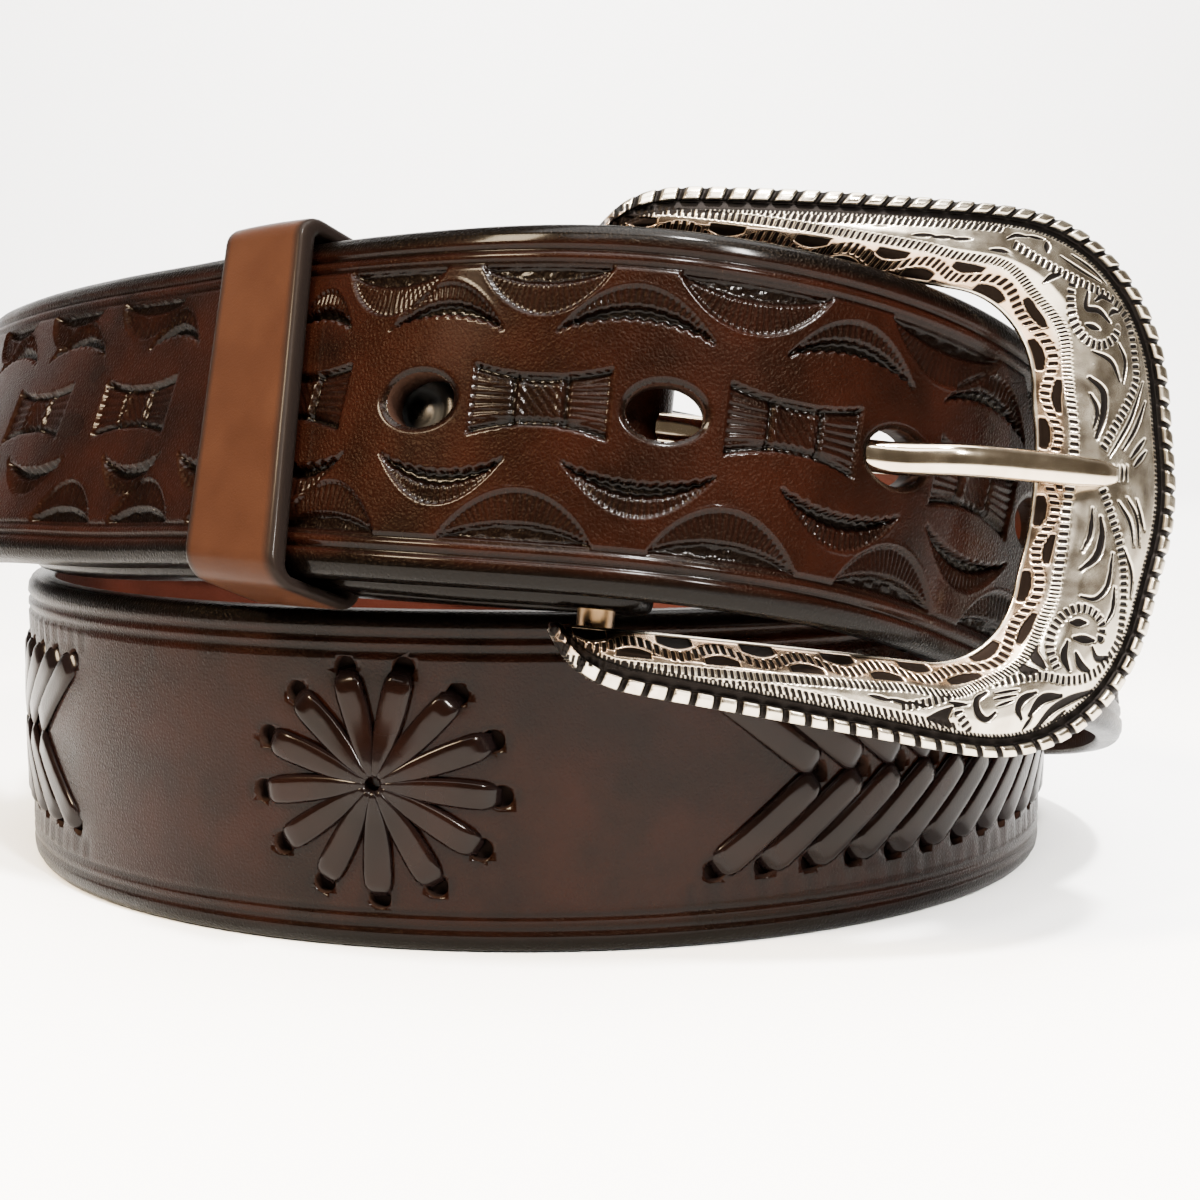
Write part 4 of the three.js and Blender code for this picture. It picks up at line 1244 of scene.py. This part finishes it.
# Rounds a path of a few points and spaces it evenly
def smoothPath(points, step):
    points = np.array(points, float)
    if len(points) < 3:
        return points
    points = catmull(points, 60)
    at = lengthAlong(points)
    return pickAlong(points, at, np.linspace(0, at[-1], max(int(at[-1] / step), 4)))


# How far each place is from a path's piece, and its share of that piece
def nearPiece(px, pz, start, stop):
    way = stop - start
    u = np.clip(((px - start[0]) * way[0] + (pz - start[1]) * way[1]) / max(way @ way, 1e-9), 0, 1)
    return np.hypot(px - start[0] - u * way[0], pz - start[1] - u * way[1]), u


def nearPath(x, z, points, reach):
    low, high = points.min(0) - reach, points.max(0) + reach
    return (x > low[0]) & (x < high[0]) & (z > low[1]) & (z < high[1])


# Depth share of tapered cuts
def strokeField(x, z, strokes):
    field = np.zeros(x.shape)
    for points, width in strokes:
        points = smoothPath(points, 0.3)
        near = nearPath(x, z, points, 1.2)
        px, pz = x[near], z[near]
        best = np.zeros(px.shape)
        count = len(points) - 1
        for k in range(count):
            far, u = nearPiece(px, pz, points[k], points[k + 1])
            wide = width * (0.35 + 0.65 * np.sin(np.pi * np.clip((k + u) / count, 0.04, 0.96)))
            best = np.maximum(best, np.clip((wide - far) / 0.14 + 0.5, 0, 1))
        field[near] = np.maximum(field[near], best)
    return field


engraving = {
    "tickPitch": 0.74,
    "tickHalf": 0.48,
    "tickDepth": 0.15,
    "cutDepth": 0.24,
    "waveLength": 8.4,
    "wave": (1.75, 0.60),               # from the inner edge, swing
    "waveHalf": 0.5,
    "waveDepth": 0.17,
    "lensDepth": (0.22, 0.20),          # between wave and edge, beyond the wave
    "lensGap": (0.80, 0.68),            # from the wave to each of the two
    "lensLimits": (0.28, 2.95),         # from the inner edge
    "innerLine": (0.22, 0.07, 0.05),    # from the inner edge, half width, depth
    "middleRow": 3.75,                  # from the inner edge
    "middleSwing": (0.25, 16),          # and its wave length, on the right of the next two
    "middleTurn": (27.0, 33.0),
    "armRow": 3.45,                     # from the outer edge
    "armEnd": 39.0,
    "rowStop": 38.0,
    # leaf cuts along an arm: place, distance from the inner edge, length, rise, half width
    "armLeaves": [(0.0, 4.75, 2.6, 0.5, 0.24), (2.2, 4.95, 2.6, 0.5, 0.24), (4.4, 5.15, 2.4, 0.5, 0.22)],
    "armLeafStart": 9.5,
    "armLeafPitch": 8.8,
    "armLeafGroups": 4,
    # rows of ticks at the right corners, x and z in mm
    "combs": [
        [(38.6, 25.1), (42.7, 23.6), (46, 22.7), (48.9, 22.1), (51.9, 21.4), (53.6, 20.2), (54.6, 18.6),
         (55.5, 15.4), (55.8, 13.2), (54.7, 10.2), (53.1, 7.1), (52, 4.9)],
        [(46.3, 22.3), (46.2, 20.6), (47, 18.1), (48.7, 16.4), (50.6, 16.1), (52.3, 17.3), (52.7, 18.4)],
        [(52.4, 0.8), (54.1, -2.4), (55.6, -5.5), (56.5, -8.9), (56.8, -11.9), (56.6, -15.2), (55, -17.8),
         (53, -19.5), (49.9, -20.3), (46.6, -20.2), (43.3, -20.9), (40.4, -21.7), (37.3, -22.8),
         (34, -24.2), (30.7, -25)],
        [(48.6, -19.3), (47.6, -17.3), (47.9, -15.1), (49.2, -13.2), (50.9, -12.4), (52.8, -12.8),
         (54, -14), (53.9, -15.3)],
        [(37, -23.9), (37.3, -25.1), (38.6, -26.5)],
    ],
    # cuts by half width, their points in x and z
    "cuts": {
        0.15: [[(53.6, 3.4), (53.8, 1.7)], [(54.2, 3.5), (54.4, 1.8)], [(54.8, 3.6), (55, 1.9)],
               [(55.4, 3.7), (55.6, 2)], [(41.3, -22.6), (44.1, -21.9)], [(41.3, -23.2), (43.9, -22.5)],
               [(41.6, -23.9), (43.5, -23.1)]],
        0.16: [[(44.5, 24.8), (47.2, 23.8), (50.1, 23)], [(46, 25.3), (48.7, 24.3), (50.9, 23)],
               [(40.4, 26.3), (42.4, 26.3)]],
        0.2: [[(52.9, 16.7), (54, 15.1), (53.9, 12.5)], [(37.9, 25.5), (39, 26.1), (40.4, 26.2)],
              [(52.9, 4.2), (55.4, 8.8), (56.9, 13.2)], [(54.7, -0.4), (56.6, -2.5), (57.4, -4.8)],
              [(55.8, 0.2), (57.5, -1.7), (58.3, -4.7)], [(57.2, 0.2), (58.8, -2.9)],
              [(56.1, -5.4), (57.6, -7.9), (57.8, -10.5)], [(45.2, -26.1), (46.1, -24.5)],
              [(48.7, -25.2), (50.4, -23.5)], [(48.9, -25.4), (50.8, -23.8)]],
        0.22: [[(49.6, 15.3), (52.1, 14.6), (53.5, 12.6)], [(49.9, 10.7), (50.9, 9.1), (50.7, 7.1)],
               [(50.6, -6.3), (51.4, -4.3), (51.4, -1.5)]],
        0.24: [[(54.7, 5.3), (56.3, 8), (57.5, 11.1)], [(55.9, 4.6), (57.8, 7)],
               [(56.5, 3.8), (58.1, 5.7)]],
        0.26: [[(51.4, 19.6), (52, 20.2), (52.7, 20.2)],
               [(50.8, -11.2), (52.7, -11.2), (54.1, -9.8), (54.5, -6.1)],
               [(54.5, -13.5), (55.2, -12.1), (55.2, -9.7)]],
        0.28: [[(49.4, 20.8), (50.3, 21.5), (51.5, 21.2)]],
        0.3: [[(48.3, 21.6), (48.3, 19.8), (49.9, 19.8), (51.5, 18.8)], [(48.5, 18), (50.1, 17.8)],
              [(42.8, 21.7), (43.8, 22.5), (44.7, 22.8)], [(52.9, -16.4), (53.7, -17.5), (55.5, -17.2)]],
        0.35: [[(42.8, 26), (42.8, 25)]],
        0.36: [[(40.3, -22.6), (39.2, -23.5), (39.5, -24.8), (40.6, -25.4), (41.5, -24.6)],
               [(36.4, -24.6), (35.8, -25.7), (36.6, -26.5)], [(33.9, -25.9), (35.3, -26), (36.5, -26.5)]],
        0.4: [[(46.2, -22), (44.6, -22.9), (44.2, -24), (44.8, -24.9)]],
        0.42: [[(49.6, 12.4), (51.4, 11.2), (51.7, 8.8), (51.1, 6.1)],
               [(50.6, -8.3), (52.4, -6.6), (52.9, -4.3), (52.5, -2.4)], [(49.9, -14.1), (51.7, -13.9)],
               [(50.4, -15.7), (53, -15.7)], [(49.6, -16.2), (49.3, -17.8), (50.1, -19.2)],
               [(50.8, -17.3), (51.6, -18.5), (52.9, -19)], [(33.9, -25.9), (35.2, -25.4), (36.4, -24.6)]],
        0.45: [[(46.8, -25.9), (48.5, -23.7), (50.7, -22.3), (53.7, -21.1)]],
        0.5: [[(44, -18.7), (44.8, -19.7), (46.1, -19.7)], [(45.7, -24.4), (47.1, -22.6), (49.5, -22)]],
        0.55: [[(46.1, -17), (45.8, -17.9), (47, -19.2)]],
    },
    "cutGrowth": 1.05,
}


# Ticks across a path: how far inside the row, and how far into a slit
def pathTicks(x, z, path, half, pitch):
    path = smoothPath(path, 0.4)
    at = lengthAlong(path)
    near = nearPath(x, z, path, 1)
    px, pz = x[near], z[near]
    best, where = np.full(px.shape, 9.0), np.zeros(px.shape)
    for k in range(len(path) - 1):
        far, u = nearPiece(px, pz, path[k], path[k + 1])
        closer = far < best
        best, where = np.where(closer, far, best), np.where(closer, at[k] + u * (at[k + 1] - at[k]), where)
    row, slit = np.zeros(x.shape), np.zeros(x.shape)
    row[near] = smoothStep(half - best, -0.08, 0.08)
    slit[near] = comb(where / pitch)
    return row, slit


# Height towards the viewer and blackening of the frame's face
def frameRelief(x, z, fromOuter, fromInner, along, alongInner):
    b, e = buckle, engraving
    height, dark = np.zeros(x.shape), np.zeros(x.shape)

    def press(mask, deep, black):
        nonlocal height, dark
        height = height - deep * mask
        dark = np.maximum(dark, black * mask)

    def row(distance, half, blur=0.08):
        return smoothStep(half - np.abs(distance), -blur, blur)

    bead = comb(along / b["beadPitch"] + b["beadSlant"] * fromOuter, 7)
    inRope = smoothStep(b["ropeWidth"] - fromOuter, -0.1, 0.1)
    place, half = b["ropeRound"]
    rope = np.sqrt(np.clip(1 - ((fromOuter - place) / half) ** 2, 0, 1))
    height += inRope * (b["ropeRise"] * rope - b["beadCut"] * bead)
    dark = np.maximum(dark, inRope * np.clip(1.4 * bead, 0, 1))
    place, half, depth = b["channel"]
    press(row(fromOuter - place, half, 0.12), depth, 1.0)
    place, half, black = b["ropeShade"]
    dark = np.maximum(dark, black * ridge(fromOuter - place, half))
    place, half, depth, pitch = b["stipple"]
    press(row(fromOuter - place, half, 0.1) * comb(along / pitch), depth, 0.9)

    ticks = comb(along / e["tickPitch"])
    swing = np.cos(fullTurn * alongInner / e["waveLength"])
    wave = e["wave"][0] + e["wave"][1] * swing            # wavy band, with dark lenses in its bays
    press(row(fromInner - wave, e["waveHalf"]) * comb(alongInner / e["tickPitch"]), e["waveDepth"], 0.95)
    gap, limit = e["lensGap"], e["lensLimits"]
    lens = smoothStep(wave - gap[0] - fromInner, -0.06, 0.08)
    lens = lens * smoothStep(fromInner, limit[0], limit[0] + 0.12)
    press(lens * smoothStep(swing, 0.15, 0.45), e["lensDepth"][0], 0.8)
    lens = smoothStep(fromInner - wave - gap[1], -0.06, 0.08) * smoothStep(limit[1] - fromInner, 0, 0.1)
    press(lens * smoothStep(-swing, 0.15, 0.45), e["lensDepth"][1], 0.8)
    place, half, depth = e["innerLine"]
    press(row(fromInner - place, half, 0.06), depth, 0.5)

    swing, length = e["middleSwing"]
    middle = e["middleRow"] + swing * smoothStep(x, *e["middleTurn"]) * np.sin(fullTurn * along / length)
    press(row(fromInner - middle, e["tickHalf"]) * ticks, e["tickDepth"], 0.9)
    onArm = smoothStep(e["armEnd"] - x, 0, 1.5) * smoothStep(fromOuter, 4.0, 4.1)
    for k in range(e["armLeafGroups"]):
        for at, level, size, rise, half in e["armLeaves"]:
            spot = e["armLeafStart"] + k * e["armLeafPitch"] + at
            side = x - spot
            bend = level + 0.012 * spot + rise * (side / size - 0.5)
            fat = half * np.sin(np.pi * np.clip(side / size, 0.001, 0.999)) ** 0.7
            leaf = row(fromInner - bend, fat, 0.07) * (side > 0) * (side < size)
            press(leaf * onArm, 0.2, 1.0)
    outerRow = row(fromOuter - e["armRow"], e["tickHalf"]) * smoothStep(e["rowStop"] - x, 0, 1)
    press(outerRow * ticks * smoothStep(fromInner, 4.3, 4.4), e["tickDepth"], 0.95)

    clear = smoothStep(fromOuter, 2.6, 2.75) * smoothStep(fromInner, 4.1, 4.3)
    for path in e["combs"]:
        inside, slit = pathTicks(x, z, path, e["tickHalf"], e["tickPitch"])
        press(inside * slit * clear, e["tickDepth"], 0.9)
    strokes = [(points, half * e["cutGrowth"]) for half, group in e["cuts"].items() for points in group]
    press(strokeField(x, z, strokes) * clear, e["cutDepth"], 1.0)
    return height, dark


def buildFrame():
    b = buckle
    outer, inner, along = frameOutline()
    share = np.linspace(0, 1, b["columns"])
    x = inner[:, :1] + (outer[:, :1] - inner[:, :1]) * share
    z = inner[:, 1:] + (outer[:, 1:] - inner[:, 1:]) * share
    width = np.linalg.norm(outer - inner, axis=1)
    fromInner, fromOuter = width[:, None] * share, width[:, None] * (1 - share)
    base = np.interp(share, [row[0] for row in b["profile"]],
                     [rims * b["rim"] + domes * b["dome"] + more for _, rims, domes, more in b["profile"]])
    for _ in range(3):
        base[1:-1] = (base[:-2] + 2 * base[1:-1] + base[2:]) / 4
    height, dark = frameRelief(x, z, fromOuter, fromInner, along[:, None], lengthAlong(inner)[:, None])
    rows = [(depth, 1 - inset / width) for depth, inset in b["outerSide"]]
    rows += [(b["back"], np.full(len(width), part)) for part in b["backShares"]]
    rows += [(depth, inset / width) for depth, inset in b["innerSide"]]
    flat = [(depth, inner + (outer - inner) * u[:, None]) for depth, u in rows]
    side = np.stack([onBuckle(at[:, 0], at[:, 1], np.full(len(at), depth)) for depth, at in flat], 1)
    sections = np.concatenate([onBuckle(x, z, base[None, :] - height), side], 1)
    sideDark = np.zeros(side.shape[:2])
    sideDark[:, :2] = dark[:, -1:] * 0.9
    # Painted reflection of the leather: a warm tint along the inner slope, none on the sides
    leatherReflection = b["leatherReflection"] * smoothStep(b["leatherReflectionReach"] - fromInner, -0.7, 0.5) * smoothStep(fromInner, 0.15, 0.35)
    leatherReflection = np.concatenate([leatherReflection, np.zeros(sideDark.shape)], 1)
    dark = np.concatenate([dark, sideDark], 1)
    whole = tube("frameWhole", sections)                  # gives both halves one run of normals
    normals = np.zeros(len(whole.vertices) * 3)
    whole.vertices.foreach_get("normal", normals)
    normals = normals.reshape(*dark.shape, 3)
    bpy.data.meshes.remove(whole)
    split = len(sections) // 2
    for name, part in (("buckleFrameUpper", slice(0, split + 1)), ("buckleFrameLower", slice(split, None))):
        mesh = tube(name, sections[part], {"cut": dark[part], "leatherReflection": leatherReflection[part]}, [finish["antiqueSilver"]])
        mesh.normals_split_custom_set_from_vertices(normals[part].reshape(-1, 3).tolist())
        makeObject(name, mesh, "buckle_frame")


def buildBar():
    b = buckle
    half = b["openingHalfHeight"] + 0.55 * (b["armHalfHeight"] - b["openingHalfHeight"])
    chamfer, small = b["barChamfer"]
    angle = np.arange(b["barSides"]) / b["barSides"] * fullTurn
    bar = []
    for level, size in [(-half, small), (chamfer - half, 1.0), (half - chamfer, 1.0), (half, small)]:
        radius = strap["barRadius"] * size
        bar.append(inBuckle(np.cos(angle) * radius, np.sin(angle) * radius, np.full(len(angle), level)))
    mesh = tube("buckleBar", bar, {"cut": np.zeros((4, len(angle)))}, [finish["barBrass"]])
    makeObject("buckleBar", mesh, "buckle_frame")


buildFrame()
buildBar()
print("buckle ready")

# Prong

prong = {
    "width": 3.5,
    "thickness": 2.7,
    "loopWall": 1.7,
    "tipPast": 7.8,
    "tipRise": 1.4,
    "rise": 1.1,
    "sides": 28,
    "steps": 120,
    "square": 0.8,                      # power that squares its section a little
    "sink": 0.3,                        # of its thickness, into the hole
    "crown": 0.65,
    "climb": [(0, 0), (0.22, 0.26), (0.5, 0.55), (0.78, 0.74), (1, 1)],   # reach and depth to the hole
    # share of the length, width, thickness
    "taper": [(0, 1, 1), (0.62, 1, 1), (0.9, 0.94, 0.92), (0.97, 0.8, 0.72), (1, 0.5, 0.35)],
    "loopSteps": (48, 16),
}


def buildProng():
    hole = [f[0] for f in strapFrame(strap["prongTurn"])]
    spot = hole[0] - hole[3] * prong["sink"] * prong["thickness"] - buckleMiddle
    holeX, holeY, holeZ = float(spot @ buckleX), float(spot @ buckleY), float(spot @ buckleZ)
    restX = buckle["openingRight"] + prong["tipPast"]
    restY = archAt(restX) - buckle["barDepth"] - buckle["dome"] - strap["pieceGap"] - prong["thickness"] / 2
    loopZ = buckle["drop"] + prong["rise"]
    loopOuter = strap["barRadius"] + strap["pieceGap"] + prong["loopWall"]
    tipZ = holeZ + prong["tipRise"]
    crownY = min(restY, holeY) - prong["thickness"] * prong["crown"]
    loopY = -loopOuter + prong["thickness"] / 2
    route = [(holeX * reach, loopY + (holeY - loopY) * depth, loopZ + (holeZ - loopZ) * reach)
             for reach, depth in prong["climb"]]
    past = restX - holeX
    route += [(holeX + past * 0.25, crownY, holeZ + (tipZ - holeZ) * 0.25),
              (holeX + past * 0.6, crownY + (restY - crownY) * 0.22, holeZ + (tipZ - holeZ) * 0.6),
              (restX, restY, tipZ)]
    line = catmull(route, prong["steps"])
    way = unit(np.gradient(line, axis=0))
    up = unit(np.array([0, 0, 1.0]) - way * way[:, 2:])
    out = np.cross(way, up)
    share = np.linspace(0, 1, prong["steps"])
    at, widths, thicknesses = zip(*prong["taper"])
    wide, thick = np.interp(share, at, widths), np.interp(share, at, thicknesses)
    angle = (np.arange(prong["sides"]) + 0.5) / prong["sides"] * fullTurn
    squareUp, squareOut = [np.sign(v) * np.abs(v) ** prong["square"] for v in (np.cos(angle), np.sin(angle))]
    sections = (line[:, None] + up[:, None] * (wide[:, None] * squareUp * prong["width"] / 2)[..., None]
                + out[:, None] * (thick[:, None] * squareOut * prong["thickness"] / 2)[..., None])
    world = inBuckle(sections[..., 0], sections[..., 1], sections[..., 2])
    shank = tube("prongShank", world, {"cut": np.zeros(world.shape[:2])}, [finish["prongMetal"]])
    around, over = prong["loopSteps"]
    angle, turn = np.arange(around)[:, None] / around * fullTurn, np.arange(over) / over * fullTurn
    middle, wall = (loopOuter + strap["barRadius"] + strap["pieceGap"]) / 2, prong["loopWall"] / 2
    radius = middle + wall * np.cos(turn)
    ring = inBuckle(radius * np.cos(angle), radius * np.sin(angle),
                    loopZ + prong["width"] / 2 * np.sin(turn) + 0 * angle)
    loop = tube("prongLoop", ring, {"cut": np.zeros((around, over))}, [finish["prongMetal"]], closed=True)
    makeObject("prongPin", joinMeshes("prongPin", [shank, loop]), "prong")


buildProng()
print("prong ready")

# Snaps

snaps = {
    "places": {"snapNear": (20.0, "snap_1"), "snapFar": (32.0, "snap_2")},
    "postRadius": 1.7,
    "capRadius": 4.6,
    "capHeight": 0.7,
    "backRadius": 4.0,
    "backHeight": 2.0,
    "sides": 48,
    # shares of the cap's radius and how far below its top
    "cap": [(0.28, 0.04), (0.42, 0.28), (0.55, 0.30), (0.68, 0), (0.82, 0), (0.95, 0.18)],
    # shares of the back's radius, drop in mm and in heights
    "back": [(0.97, 0, 0), (1, 0.3, 0), (1, 0, 0.5), (0.9, 0, 0.75), (0.62, 0, 1), (0.5, 0, 0.8),
             (0.3, 0, 0.55)],
    "darkRows": [2, 3, 16, 17, 18],
}


def buildSnap(name, place, node):
    s, gap = snaps, strap["pieceGap"]
    point, along, across, out = [f[0] for f in strapFrame(turnOf(barLength - place))]
    close = float(smoothStep(place, 0, strap["foldBlend"]))
    behind = 2 * foldRadius + (2 * thickness + gap - 2 * foldRadius) * close + 2 * gap
    top, cap, back, tall = gap + s["capHeight"], s["capRadius"], s["backRadius"], s["backHeight"]
    profile = [(0.3, top - 0.05)] + [(cap * share, top - down) for share, down in s["cap"]]
    profile += [(cap, gap + 0.2), (cap * 0.97, gap), (s["postRadius"], gap), (s["postRadius"], -behind)]
    profile += [(back * share, -behind - drop - tall * part) for share, drop, part in s["back"]]
    profile.append((0.3, -behind - tall * 0.5))
    angle = np.arange(s["sides"]) / s["sides"] * fullTurn
    ring = np.cos(angle)[:, None] * along + np.sin(angle)[:, None] * across
    sections = [point + ring * radius + out * level for radius, level in profile]
    dark = np.zeros((len(profile), s["sides"]))
    dark[s["darkRows"]] = 0.7
    mesh = tube(name, sections, {"cut": dark}, [finish["snapMetal"]])
    makeObject(name, mesh, node)


for pieceName, (place, node) in snaps["places"].items():
    buildSnap(pieceName, place, node)
print("snaps ready")
